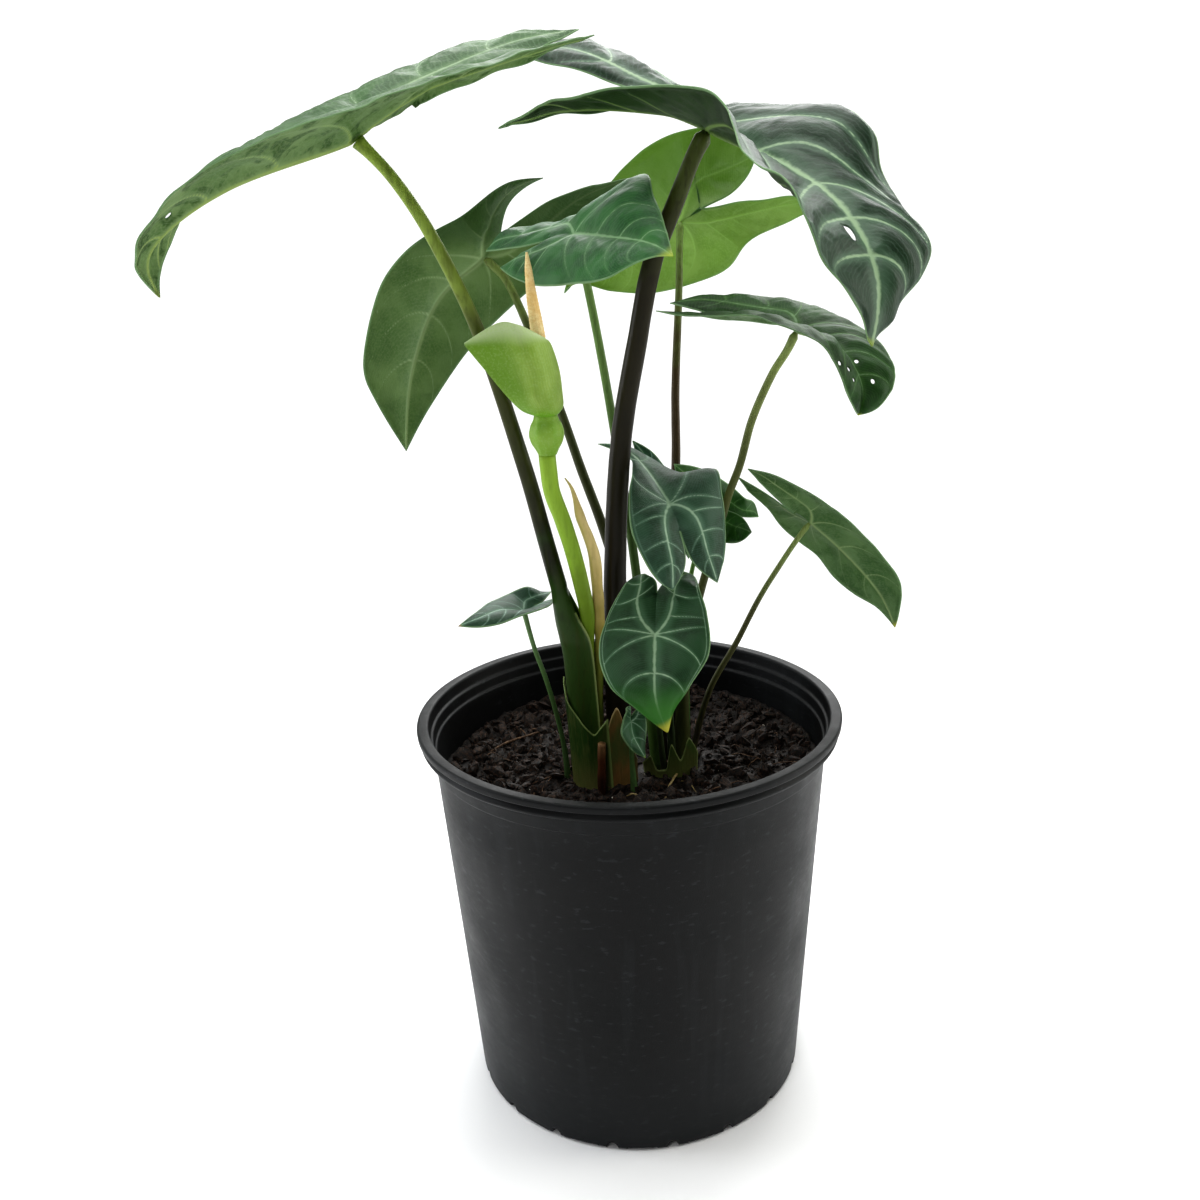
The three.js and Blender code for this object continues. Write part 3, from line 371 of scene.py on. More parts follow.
# %% Where each leaf lies
LEAVES = {
    "leaf_01": dict(
        midline=[[-181, -112, 444], [-178, -122, 463], [-150, -108, 484], [-111, -50, 502], [-84, -24, 518]],
        right=[[1.1, -176, -110, 462], [2.3, -164, -74, 493], [3.2, -143, -14, 514], [4.4, -99, 20, 536],
          [5.3, -58, 46, 551], [6, -13, 48, 554]],
        left=[[1, -179, -137, 463], [1.5, -161, -144, 481], [1.9, -133, -145, 496], [2.8, -87, -94, 516],
          [4.1, -57, -60, 528], [5.1, -31, -28, 538], [6, -5, 4, 546]],
        cup=[0.08, 0.06], cleft=[0.05, -0.1],
        route=[[-109, -50, 503], [-94, -50, 486], [-80, -48, 462], [-63, -40, 419], [-46, -29, 352],
          [-37.5, -24, 311], [-32.8, -22, 289], [-28.6, -20, 272], [-24.4, -18, 258], [-22.6, -14.5, 230],
          [-21.3, -12.3, 200], [-20.5, -11, 177], [-20.3, -10.8, 172]],
        radii=[[503, 2.5], [352, 3.8], [289, 4.3], [262, 9.3], [230, 9.3], [177, 8.8]],
    ),
    "leaf_02": dict(
        midline=[[95, -150, 419], [97, -138, 448], [82, -104, 476], [44, -30, 502], [38, -14, 509]],
        right=[[0.4, 86, -159, 436], [0.8, 74, -162, 452], [1.2, 68, -159, 467], [1.5, 63, -150, 477],
          [2.1, 52, -120, 489], [2.6, 43, -77, 513], [3.2, 22, -54, 519], [5.1, -21, -24, 518],
          [6, -52, 8, 509]],
        left=[[0.6, 108, -131, 429], [1.2, 123, -117, 451], [2.1, 115, -80, 474], [2.4, 107, -59, 503],
          [2.9, 87, -18, 508], [3.8, 57, 19, 511], [4.6, 29, 29, 529], [5.5, -7, 92, 551],
          [6, -52, 78, 548]],
        cup=[-0.08, 0.1], cleft=[-0.3, -0.2],
        route=[[44, -30, 502], [38, -30, 492], [28, -27, 469], [18, -23, 445], [10, -18, 408],
          [1, -13, 361], [-4, -11, 299], [-5.5, -10.5, 235], [-4.3, -9.5, 177], [-4.2, -9.4, 172]],
        radii=[[502, 3.4], [445, 4.6], [361, 5.2], [299, 5.7], [235, 6.2], [177, 6.8]],
    ),
    "leaf_03": dict(
        midline=[[-123, 86, 340], [-114, 72, 385], [-95, 60, 425], [-68, 52, 447], [-58, 52, 459]],
        right=[[0.6, -107, 81, 365], [1.4, -82, 77, 397], [2.7, -53, 67, 423], [4.2, -28, 64, 443],
          [5.2, -10, 78, 468], [6, 10, 78, 484]],
        left=[[0.7, -137, 80, 371], [1.1, -142, 80, 389], [1.4, -136, 76, 413], [1.8, -125, 72, 437],
          [2.3, -108, 68, 454], [3.9, -78, 60, 469], [5.3, -55, 70, 484], [6, -35, 66, 486]],
        cup=[0.1, 0.1], cleft=[0.3, -0.35],
        route=[[-68, 52, 448], [-64, 54, 444], [-57, 55, 436], [-47, 52, 413], [-31, 43, 368],
          [-21, 36, 337], [-10, 28, 305], [14, 13, 220], [18, 9, 177], [18.2, 8.8, 172]],
        radii=[[447, 2], [305, 2.7], [220, 3.1], [177, 3.6]],
    ),
    "leaf_04": dict(
        midline=[[25, -85, 451], [15, -68, 456], [0, -42, 458], [-18, -6, 459], [-31, 8, 456]],
        right=[[0.4, 16, -81, 451], [1.2, -4, -72, 442], [2.3, -24, -39, 438], [3.4, -37, -20, 437],
          [4.8, -48, -6, 440], [6, -56, 14, 444]],
        left=[[1.2, 22, -57, 466], [1.8, 19, -40, 475], [2.3, 16, -20, 485], [2.9, 1, 10, 477],
          [4.1, -14, 33, 467], [5.1, -37, 45, 462], [5.6, -54, 46, 461], [6, -65, 42, 451]],
        cup=[0.1, 0.1], cleft=[0.1, 0.1],
        route=[[-18, -6, 460], [-16, -1, 449], [-13, 3, 435], [-7, 10, 396], [-2, 14, 358],
          [6, 11, 292], [12, 3, 220], [16, -1, 177], [16.2, -1.2, 172]],
        radii=[[458, 2], [292, 2.4], [230, 2.7], [200, 3.8], [177, 4.5]],
    ),
    "leaf_05": dict(
        midline=[[-29, 118, 423], [-13, 116, 436], [11, 104, 448], [37, 80, 461], [47, 74, 467]],
        right=[[0.45, -20, 119, 428], [0.9, -2, 121, 423], [1.7, 26, 113, 422], [2.6, 60, 101, 432],
          [4.4, 76, 86, 450], [5.2, 98, 92, 459], [6, 121, 84, 469]],
        left=[[1.4, -13, 121, 466], [1.8, 1, 121, 484], [2.6, 20, 106, 500], [4.2, 44, 90, 508],
          [5.2, 68, 92, 507], [6, 79, 84, 494]],
        cup=[0.1, 0.1], cleft=[0.2, 0.2],
        route=[[37, 80, 462], [36, 75, 447], [35, 68, 427], [31, 46, 375], [30, 34, 340],
          [25, 18, 260], [27, 9.5, 177], [27.1, 9.2, 172]],
        radii=[[461, 1.8], [340, 2.4], [260, 2.7], [177, 3.6]],
    ),
    "leaf_06": dict(
        midline=[[115, -24, 371], [115, -30, 387], [106, -16, 403], [90, 8, 408], [82, 18, 411]],
        right=[[0.9, 106, -40, 385], [1.4, 101, -40, 398], [1.8, 92, -37, 409], [2.6, 75, -19, 416],
          [3.9, 64, -5, 418], [5.2, 37, 14, 417], [6, 21, 30, 419]],
        left=[[0.4, 124, -29, 376], [0.7, 131, -27, 384], [1.6, 131, -11, 398], [2.4, 122, 9, 409],
          [3.6, 102, 40, 418], [4.5, 81, 45, 422], [5.4, 54, 58, 424], [6, 29, 50, 421]],
        cup=[0.1, 0.1], cleft=[0.1, 0.1],
        route=[[90, 8, 409], [86, 12, 399], [79, 15, 387], [69, 19, 363], [63, 22, 339],
          [56, 22, 320], [33, 9, 240], [29, -1, 177], [28.8, -1.5, 172]],
        radii=[[407, 2], [240, 2.3], [210, 3.6], [177, 4.8]],
    ),
    "leaf_07": dict(
        midline=[[144, 6, 251], [136, 14, 269], [119, 18, 289], [100, 18, 307], [91, 18, 313]],
        right=[[0.9, 146, 6, 274], [1.6, 135, 3, 292], [2.3, 123, -2, 306], [3.8, 103, -4, 324],
          [4.8, 87, 4, 333], [5.5, 76, 4, 338], [6, 66, 12, 339]],
        left=[[0.7, 136, 17, 259], [1.2, 125, 22, 265], [1.7, 115, 29, 273], [2.2, 107, 38, 283],
          [2.6, 98, 41, 290], [3.4, 89, 42, 298], [4.6, 78, 38, 312], [5.4, 69, 38, 321],
          [6, 63, 34, 330]],
        cup=[0.1, 0.1], cleft=[0.1, 0.1],
        route=[[100, 18, 308], [94, 20, 299], [88, 22, 289], [74, 24, 265], [61, 22, 240],
          [45, 15, 214], [34, 5, 177], [33, 4, 172]],
        radii=[[306, 1.4], [177, 1.8]],
    ),
    "leaf_08": dict(
        midline=[[-11, 10, 355], [1, 4, 354], [12, -12, 347], [23, -44, 335], [27, -50, 324]],
        right=[[0.5, -4, 9, 354], [1, 7, 10, 351], [1.5, 18, 8, 345], [1.9, 28, 1, 339],
          [2.3, 38, -10, 340], [2.7, 47, -19, 346], [3.3, 49, -30, 337], [4.4, 50, -34, 324],
          [5.4, 49, -40, 306], [6, 45, -46, 296]],
        left=[[1.3, 6, -3, 349], [1.8, 6.5, -14, 346], [2.6, 4, -37, 340], [3.9, 4, -63, 329],
          [4.8, 9, -63, 315], [5.6, 16, -66, 304], [6, 23, -62, 298]],
        cup=[0.1, 0.1], cleft=[0.2, 0.25],
        route=[[23, -45, 335], [23, -41, 327], [22, -34, 305], [21, -20, 258], [24, -6, 177],
          [24.2, -5.4, 172]],
        radii=[[334, 1.5], [177, 1.7]],
    ),
    "leaf_09": dict(
        midline=[[18, -86, 236], [13, -84, 252], [13, -76, 265], [14, -62, 276], [16, -41, 290]],
        right=[[0.8, 4, -83, 247], [1.4, -8, -82, 258], [2.4, -13, -66, 268], [4.2, -9, -46, 279],
          [5.2, -1, -37, 292], [5.7, 5, -30, 295], [6, 11, -34, 298]],
        left=[[0.4, 22, -80, 245], [1.3, 29, -80, 256], [2.5, 39, -70, 269], [4.2, 39, -60, 286],
          [5, 36, -51, 295], [5.6, 35, -28, 294], [6, 30, -32, 298]],
        cup=[0.1, 0.1], cleft=[0.1, 0.1],
        route=[[14, -62, 276], [14, -56, 269], [14, -46, 252], [15, -30, 226], [18.5, -8.5, 177],
          [18.8, -7, 172]],
        radii=[[274, 1.5], [177, 1.6]],
    ),
    "leaf_10": dict(
        midline=[[-79, -66, 285], [-70, -58, 286], [-61, -44, 285], [-51, -28, 279], [-46, -22, 279]],
        right=[[1.2, -72, -52, 287], [2.2, -67, -34, 286], [3.7, -59, -16, 284], [4.6, -50, -14, 287],
          [5.5, -43, -4, 281], [6, -38, -4, 281]],
        left=[[0.8, -69, -63, 283], [1.5, -60, -56, 282], [2.4, -51, -42, 281], [3.5, -42, -33, 281],
          [5, -37, -22, 280], [6, -37, -14, 280]],
        cup=[0.1, 0.1], cleft=[0.1, 0.1],
        route=[[-51, -28, 280], [-47, -26, 259], [-42, -22, 239], [-38, -17, 218], [-35, -12, 196],
          [-34, -8, 176], [-34, -7.5, 172]],
        radii=[[277, 1.2], [200, 1.3], [176, 1.8]],
        own_foot=True,
    ),
    "leaf_11": dict(
        midline=[[8, -42, 202], [5, -42, 208], [2, -38, 213], [1, -32, 218], [1, -30, 220]],
        right=[[1.1, 1, -45, 208], [2, -4, -43, 216], [2.8, -3, -38, 221], [4.4, -1, -35, 225],
          [5.4, -1, -32, 226], [6, 1, -28, 225]],
        left=[[0.7, 8, -38, 207], [2.2, 9, -34, 213], [4, 9, -28, 218], [4.9, 8, -26, 222],
          [5.4, 8, -26, 223], [6, 7, -26, 225]],
        cup=[0.1, 0.1], cleft=[0.1, 0.1],
        route=[[1, -32, 219], [1, -29, 210], [1, -27.5, 196], [1.5, -27, 184], [2, -26.5, 172]],
        radii=[[218, 1.1], [196, 1.2], [176, 2]],
        own_foot=True,
    ),
    "leaf_12": dict(
        midline=[[28, 16, 342], [35, 20, 335], [42, 26, 327], [51, 32, 316], [56, 34, 312]],
        right=[[1, 38, 23, 339], [2.1, 47, 35, 333], [3.9, 61, 43, 322], [4.7, 67, 39, 317],
          [5.6, 73, 46, 312], [6, 75, 42, 305]],
        left=[[1.1, 31, 19, 329], [1.8, 35, 18, 319], [3, 43, 23, 304], [4.7, 55, 29, 295],
          [5.5, 63, 22, 297], [6, 70, 30, 300]],
        cup=[0.1, 0.1], cleft=[0.2, 0.2],
        route=[[51, 32, 317], [47, 31, 307], [37, 27, 279], [33, 13, 240], [33, 9.5, 177],
          [33, 9.2, 172]],
        radii=[[315, 1.2], [177, 1.4]],
    ),
    "leaf_13": dict(
        midline=[[7, 16, 355], [13, 12, 348], [18, 8, 339], [24, 0, 327], [26, -3, 322]],
        right=[[1, 17, 14, 349], [2, 25, 14, 339], [3, 38, 10, 329], [4.4, 40, 1, 317], [5.4, 38, 4, 303],
          [6, 34, 0, 295]],
        left=[[1.4, 10, 11, 342], [2.4, 12, -4, 335], [3.9, 13, -13, 323], [4.8, 17, -6, 309],
          [5.5, 21, -14, 304], [6, 25, -8, 297]],
        cup=[0.1, 0.1], cleft=[0.2, 0.2],
        route=[[24, 0, 328], [24, 4, 318], [24, 7, 294], [22.5, 7, 240], [22.5, 3.5, 177],
          [22.5, 3.4, 172]],
        radii=[[327, 1.2], [177, 1.4]],
    ),
}
print("leaves:", len(LEAVES))

# %% [markdown]
# A row of a blade starts on the midrib, or on the inner edge of a back lobe, and runs to the margin. It
# bulges a little, because the blade is cupped between rib and margin. A subdivided plane pushed about by
# hand could look the same. Rows and shares are used because veins, colours and holes can then be given in
# the same two numbers, whatever the shape of the leaf.

# %% The surface of half a blade
# The rows of a blade that have a name, and its halves.
TIP, JUNCTION, SINUS, LOBE_END = 0, 3, 4, 6
SIDES = ("right", "left")


def blade_rows(leaf, side, v):
    """Where the rows v start, and the vectors across to the margin. The midline is one smooth curve down
    to the sinus, and the lobe's inner edge another, through a point beside the middle of its chord."""
    midline = np.array(leaf["midline"], float)
    margin = np.array(leaf[side], float)
    knots = np.r_[TIP, margin[:, 0]]
    outer = np.vstack([midline[0], margin[:, 1:]])
    sinus, lobe = midline[SINUS], outer[-1]
    chord = lobe - sinus
    beside_chord = 4.6
    aside = curve_through(knots, outer, np.array([beside_chord]))[0] - sinus
    aside = aside - chord * (aside @ chord) / (chord @ chord)
    inside = sinus + chord / 2 - aside * leaf["cleft"][SIDES.index(side)]
    rib = curve_through(np.arange(5), midline, np.minimum(v, SINUS))
    inner = curve_through([SINUS, 5, LOBE_END], [sinus, inside, lobe], np.maximum(v, SINUS))
    start = np.where((v <= SINUS)[:, None], rib, inner)
    return start, curve_through(knots, outer, v) - start


def blade_points(leaf, side, v, t):
    """Points at row v and share t of the way to the margin: the straight line across, and above it the
    cup times the row's length times 4 t (1 - t), along the normal of the rows there."""
    step = 0.05
    near = np.clip(v, TIP + step, LOBE_END - step)
    before, after, here = (blade_rows(leaf, side, near + shift) for shift in (-step, step, 0))
    back = before[0] - after[0] + (before[1] - after[1]) / 2
    up = np.cross(here[1], back) * (1 if side == "right" else -1)
    up /= np.linalg.norm(up, axis=1, keepdims=True)
    start, across = blade_rows(leaf, side, v)
    width = np.linalg.norm(across, axis=1)
    bulge = leaf["cup"][SIDES.index(side)] * width * 4 * t * (1 - t)
    return start + across * t[:, None] + up * bulge[:, None], width


def blade_size(leaf):
    """The length of the longer margin and the widest row, in millimetres."""
    v = np.linspace(TIP, LOBE_END, 61)
    found = [blade_points(leaf, side, v, np.ones(61)) for side in SIDES]
    lengths = [np.linalg.norm(np.diff(points, axis=0), axis=1).sum() for points, _ in found]
    return max(lengths), max(width.max() for _, width in found)


for name, leaf in LEAVES.items():
    print(name, "margin and widest half: %.0f and %.0f mm" % blade_size(leaf))

# %% [markdown]
# The veins are what makes this plant's leaf. The midrib and the rib of each back lobe start at the
# junction. Side veins leave the ribs nearly square, curve towards the tip, and meet a thin vein that
# follows the margin. Painting them on a picture would take a very large one. Instead each vein is a path
# over the blade with a width that tapers, and every point of the mesh keeps its distance to the nearest
# vein, counted in half-widths of that vein. A material can then draw a sharp vein on a coarse mesh.

# %% Vein paths
# How far out the vein along the margin lies, and how many points a side vein, a rib and it have.
MARGIN_VEIN = 0.93
SIDE_POINTS, RIB_POINTS, MARGIN_POINTS = 22, 40, 90


def lobe_rib(v):
    """How far out the back lobe's rib lies in row v: it leaves the junction and settles at 0.4."""
    return 0.4 * (1 - np.exp(-np.maximum(v - JUNCTION, 0) / 0.45))


def side_vein(v0, t0, t1, sweep):
    """Rows and shares of a side vein from row v0: it bends forward by the sweep times the square of the
    way across, so it starts square to the rib."""
    t = np.linspace(0, 1, SIDE_POINTS)
    return v0 - sweep * (0.3 * t + 0.7 * t**2), t0 + (t1 - t0) * t


def vein_paths(leaf):
    """Each vein as rows, shares and half-widths, for one half of a blade: midrib, lobe's rib, side veins
    of the midrib, with one more pair at the junction where the leaf has a star, side veins of the lobe's
    rib outwards and inwards, and the vein along the margin."""
    count, width = leaf["veins"], leaf["rib_width"]
    main, lobe = np.linspace(JUNCTION, TIP, RIB_POINTS), np.linspace(JUNCTION, 5.85, RIB_POINTS)
    paths = [(main, main * 0, width * (0.3 + 0.7 * (main / JUNCTION) ** 0.8)),
             (lobe, lobe_rib(lobe), width * np.linspace(0.8, 0.28, RIB_POINTS))]
    for k in range(count):
        start = 2.98 - 2.35 * k / count
        v, t = side_vein(start, 0, MARGIN_VEIN, min(0.95, 0.33 * start + 0.12))
        taper = np.linspace(0.5, 0.14, SIDE_POINTS)
        paths.append((np.maximum(v, 0.12), t, width * taper * (1 - 0.3 * k / count)))
    if leaf["star"]:
        paths.append((*side_vein(3.0, 0, MARGIN_VEIN, -0.5), width * np.linspace(0.45, 0.12, SIDE_POINTS)))
    for start, end, thick in ((3.5, MARGIN_VEIN, 0.32), (4.3, MARGIN_VEIN, 0.32), (5.05, MARGIN_VEIN, 0.32),
                              (4.35, 0.08, 0.24), (5.1, 0.08, 0.24)):
        root = float(lobe_rib(np.array(start)))
        paths.append((*side_vein(start, root, end, -0.35), width * np.linspace(thick, 0.1, SIDE_POINTS)))
    border = np.linspace(0.3, 5.75, MARGIN_POINTS)
    paths.append((border, np.full(MARGIN_POINTS, MARGIN_VEIN), np.full(MARGIN_POINTS, width * 0.1)))
    return paths


def nearest_vein(points, starts, ends, widths):
    """For each point the least distance to any stretch of vein, in its half-widths and in millimetres,
    and the half-width of that stretch. A foot point on a stretch is found by projection."""
    way = ends - starts
    length2 = (way**2).sum(1)
    along = points @ way.T - (starts * way).sum(1)
    share = np.clip(along / length2, 0, 1)
    gap2 = (points**2).sum(1)[:, None] - 2 * points @ starts.T + (starts**2).sum(1)
    gap = np.sqrt(np.maximum(gap2 - 2 * share * along + share**2 * length2, 0))
    reach = gap / widths
    return reach.min(1), gap.min(1), widths[reach.argmin(1)]


print("a lobe's rib lies at", lobe_rib(np.array([3.5, 4.5, 5.5])).round(2))

# %% [markdown]
# Between its veins the blade is quilted: it rises by about a millimetre and falls again to each vein. On
# the underside the veins stand out as round ribs. A displacement texture could do both at render time,
# but then the exported mesh would be flat. The two halves share the points of their midline, so they are
# welded into one sheet before it gets its two skins.

# %% Make a blade
# In millimetres: half the thickness of the tissue, how far from a vein the quilting has mostly risen,
# and a distance that is larger than any to a margin.
SKIN = 0.28
QUILT_REACH = 5.5
FAR = 99


def cell_of(leaf):
    """The mesh's cell in millimetres: finer on a small leaf, whose veins are finer too."""
    return float(np.clip(blade_size(leaf)[0] / 200, 0.55, 1.3))


def blade_sheet(leaf):
    """The sheet of a blade and the values on its points: row, share, distance to the margin, which is 0
    at the bottom of the sinus too."""
    (length, widest), cell = blade_size(leaf), cell_of(leaf)
    rows = 3 * max(16, round(length / cell / 3))
    columns = max(12, round(widest / cell))
    v = np.repeat(np.linspace(TIP, LOBE_END, rows + 1), columns + 1)
    t = np.tile(np.linspace(0, 1, columns + 1), rows + 1)
    points, faces, edge = [], [], []
    for k, side in enumerate(SIDES):
        spots, width = blade_points(leaf, side, v, t)
        points.append(spots)
        edge.append(np.minimum((1 - t) * width, np.where(v > SINUS, t * width + 0.02, FAR)))
        grid = grid_faces(rows + 1, columns + 1) + k * len(v)
        faces.append(grid if side == "right" else turned_over(grid))
    points, faces, first = welded(np.vstack(points), np.vstack(faces))
    row, share = np.tile(v, 2)[first], np.tile(t, 2)[first]
    edge = np.concatenate(edge)[first]
    edge[(row > 3.9) & (row < 4.02) & (share == 0)] = 0
    return points, faces, row, share, edge


def vein_field(leaf, points):
    """nearest_vein for the veins of both halves; the vein along the margin has no part in the distance
    in millimetres, which the quilting follows."""
    stretches = []
    for side in SIDES:
        for v, t, width in vein_paths(leaf):
            spots, _ = blade_points(leaf, side, v, t)
            inner = np.full(len(v) - 1, len(v) < MARGIN_POINTS)
            stretches.append((spots[:-1], spots[1:], (width[:-1] + width[1:]) / 2, inner))
    starts, ends, widths, inner = (np.concatenate(part) for part in zip(*stretches))
    reach, _, near_width = nearest_vein(points, starts, ends, widths)
    return reach, nearest_vein(points, starts[inner], ends[inner], widths[inner])[1], near_width


def pierced(points, faces, leaf):
    """Cuts each oval hole of the leaf: points near its edge are moved onto it, and the faces inside it
    are dropped. A hole is a side, a row, a share, and half its length and width in millimetres."""
    for side, v, t, half_length, half_width in leaf["holes"]:
        spot = blade_points(leaf, side, np.array([v, v + 0.02, v]), np.array([t, t, t + 0.02]))[0]
        along = (spot[1] - spot[0]) / np.linalg.norm(spot[1] - spot[0])
        across = spot[2] - spot[0]
        across = across - along * (across @ along)
        across /= np.linalg.norm(across)
        off = points - spot[0]
        local = np.stack([off @ along / half_length, off @ across / half_width], 1)
        radius = np.linalg.norm(local, axis=1)
        close = np.linalg.norm(off, axis=1) < 2 * half_length
        margin = min(0.62 * cell_of(leaf) / half_width, 0.5)
        moved = close & (radius > 1 - margin) & (radius < 1 + margin)
        shift = local * ((1 / np.maximum(radius, 0.1) - 1) * moved)[:, None]
        points = points + shift[:, :1] * along * half_length + shift[:, 1:] * across * half_width
        inside = close & (np.where(moved, 1.0, radius) < 1.02)
        faces = faces[~inside[faces].all(1)]
    return points, faces


def make_blade(key, leaf, materials, slot):
    """The finished blade: the sheet, pierced, quilted by the leaf's quilt in millimetres, wavy, with ribs
    below and two skins. The value comb counts the hair lines that run beside the side veins."""
    points, faces, row, share, edge = blade_sheet(leaf)
    points, faces = pierced(points, faces, leaf)
    reach, gap, near_width = vein_field(leaf, points)
    quilt, calm = leaf["quilt"], smooth_step(edge, 0.5, 5)
    rise = quilt * (1 - np.exp(-((gap / QUILT_REACH) ** 2))) * calm
    ripple = 0.4 * quilt * waves(points, 24, 11) + 0.16 * quilt * waves(points, 8, 12) * calm
    ripple = ripple * smooth_step(gap, 0, 3)
    ripple = ripple + quilt * 0.5 * waves(points, 20, 13) * (1 - smooth_step(edge, 0, 9))
    points = points + normals_of(points, faces) * (rise + ripple)[:, None]
    ridge = 0.55 * near_width * np.exp(-((reach * 0.9) ** 2)) * calm
    shell, shell_faces, face_side = thickened(points, faces, SKIN, (SKIN + ridge)[:, None])
    comb = np.where(row < 3.2, row + 0.95 * (0.3 * share + 0.7 * share**2), row - 0.35 * share**2)
    values = {"vein": reach, "edge": edge, "row": row, "comb": comb}
    values = {name: np.tile(np.minimum(value, 60), 2) for name, value in values.items()}
    make_piece(key + "_lamina", shell, shell_faces, materials, values, face_side, slot, [key + "_blade"])


print("mesh cells in mm:", [round(cell_of(leaf), 2) for leaf in LEAVES.values()])

# %% [markdown]
# ## What a leaf looks like
# Living leaf is a wax-coated skin over wet green tissue. Light glances off the wax, a broad soft gloss,
# and some light passes through the tissue and leaves it yellower. Subsurface scattering would be slower
# and is meant for thicker things, so a leaf is a mix of a shiny surface and a translucent one. The veins,
# the pale margin and the tip are painted by the values that the mesh carries: distance to a vein,
# distance to the margin, and row.

# %% Painting by a value
WAX_IOR = 1.42
WHITE, BLACK = (1.0, 1.0, 1.0, 1.0), (0.0, 0.0, 0.0, 1.0)


def grey(level):
    """A linear grey."""
    return (level, level, level, 1.0)


def painted(tree, colour, layers):
    """Colours laid over each other. Each layer is a value, two limits and a colour: the colour covers
    where the value is under the first limit, and is gone where it is over the second. A colour paired
    with a share covers by no more than that."""
    for value, full, gone, over in layers:
        share = add(tree, "ShaderNodeMapRange", {0: value, 1: full, 2: gone, 3: 1.0, 4: 0.0},
                    interpolation_type="SMOOTHSTEP").outputs[0]
        if isinstance(over, tuple) and len(over) == 2:
            share = add(tree, "ShaderNodeMath", {0: share, 1: over[1]}, operation="MULTIPLY").outputs[0]
            over = over[0]
        paint = linear(over) if isinstance(over, str) else over
        colour = add(tree, "ShaderNodeMix", {0: share, 6: colour, 7: paint}, data_type="RGBA").outputs[2]
    return colour


def noise_at(tree, size, detail=4.0, stretch=(1, 1, 1)):
    """Noise with features of about the given size in millimetres, on the object's own coordinates."""
    place = add(tree, "ShaderNodeTexCoord").outputs["Object"]
    scaled = add(tree, "ShaderNodeMapping", {"Vector": place, "Scale": stretch}).outputs[0]
    sockets = {"Vector": scaled, "Scale": 1 / (size * MM), "Detail": detail}
    return add(tree, "ShaderNodeTexNoise", sockets).outputs[0]


def height_at(tree):
    """The height above the floor in metres, at each place of an object."""
    place = add(tree, "ShaderNodeTexCoord").outputs["Object"]
    return add(tree, "ShaderNodeSeparateXYZ", {0: place}).outputs["Z"]


def glossy(tree, colour, roughness, bump, depth, ior, shine=0.5):
    """A gloss over a colour, on a relief: the bump is a height between 0 and 1, and depth its size in
    millimetres. Also returns the relief."""
    relief = add(tree, "ShaderNodeBump", {"Height": bump, "Distance": depth * MM, "Strength": 1.0}).outputs[0]
    sockets = {"Base Color": colour, "Roughness": roughness, "IOR": ior, "Specular IOR Level": shine,
               "Normal": relief}
    return add(tree, "ShaderNodeBsdfPrincipled", sockets).outputs[0], relief


def dead_skin(tree, *look):
    """Ends the material of something that no light passes through: glossy alone."""
    add(tree, "ShaderNodeOutputMaterial", {"Surface": glossy(tree, *look)[0]})


def living_skin(tree, colour, through, share, roughness, bump, depth, shine=0.4):
    """Ends a plant material: glossy wax, mixed by the share with light that passes through."""
    skin, relief = glossy(tree, colour, roughness, bump, depth, WAX_IOR, shine)
    glow = add(tree, "ShaderNodeBsdfTranslucent", {"Color": through, "Normal": relief}).outputs[0]
    both = add(tree, "ShaderNodeMixShader", {0: share, 1: skin, 2: glow}).outputs[0]
    add(tree, "ShaderNodeOutputMaterial", {"Surface": both})


print("share of straight light that wax sends back: %.3f" % ((WAX_IOR - 1) / (WAX_IOR + 1)) ** 2)

# %% [markdown]
# The upper side is dark blue-green. Small cells between the finest veins give it a fine grain, and hair
# lines run side by side between the large veins. A pale haze lies along each vein, silver in the middle.
# The hair lines could be more vein paths, but there are hundreds, so they are a sine wave of the value
# comb, pushed aside a little by noise.

# %% The upper side of a leaf
# How many radians of the sine wave one row of the blade takes up.
HAIR_LINES = 105.0


def hair_lines(tree, comb, wander):
    """Lines beside each other: 0 on a line and 1 between two, half of 1 less the sine of comb."""
    place = add(tree, "ShaderNodeMath", {0: noise_at(tree, 7), 1: wander, 2: comb}, operation="MULTIPLY_ADD")
    phase = add(tree, "ShaderNodeMath", {0: place.outputs[0], 1: HAIR_LINES}, operation="MULTIPLY").outputs[0]
    wave = add(tree, "ShaderNodeMath", {0: phase}, operation="SINE").outputs[0]
    return add(tree, "ShaderNodeMath", {0: wave, 1: -0.5, 2: 0.5}, operation="MULTIPLY_ADD").outputs[0]


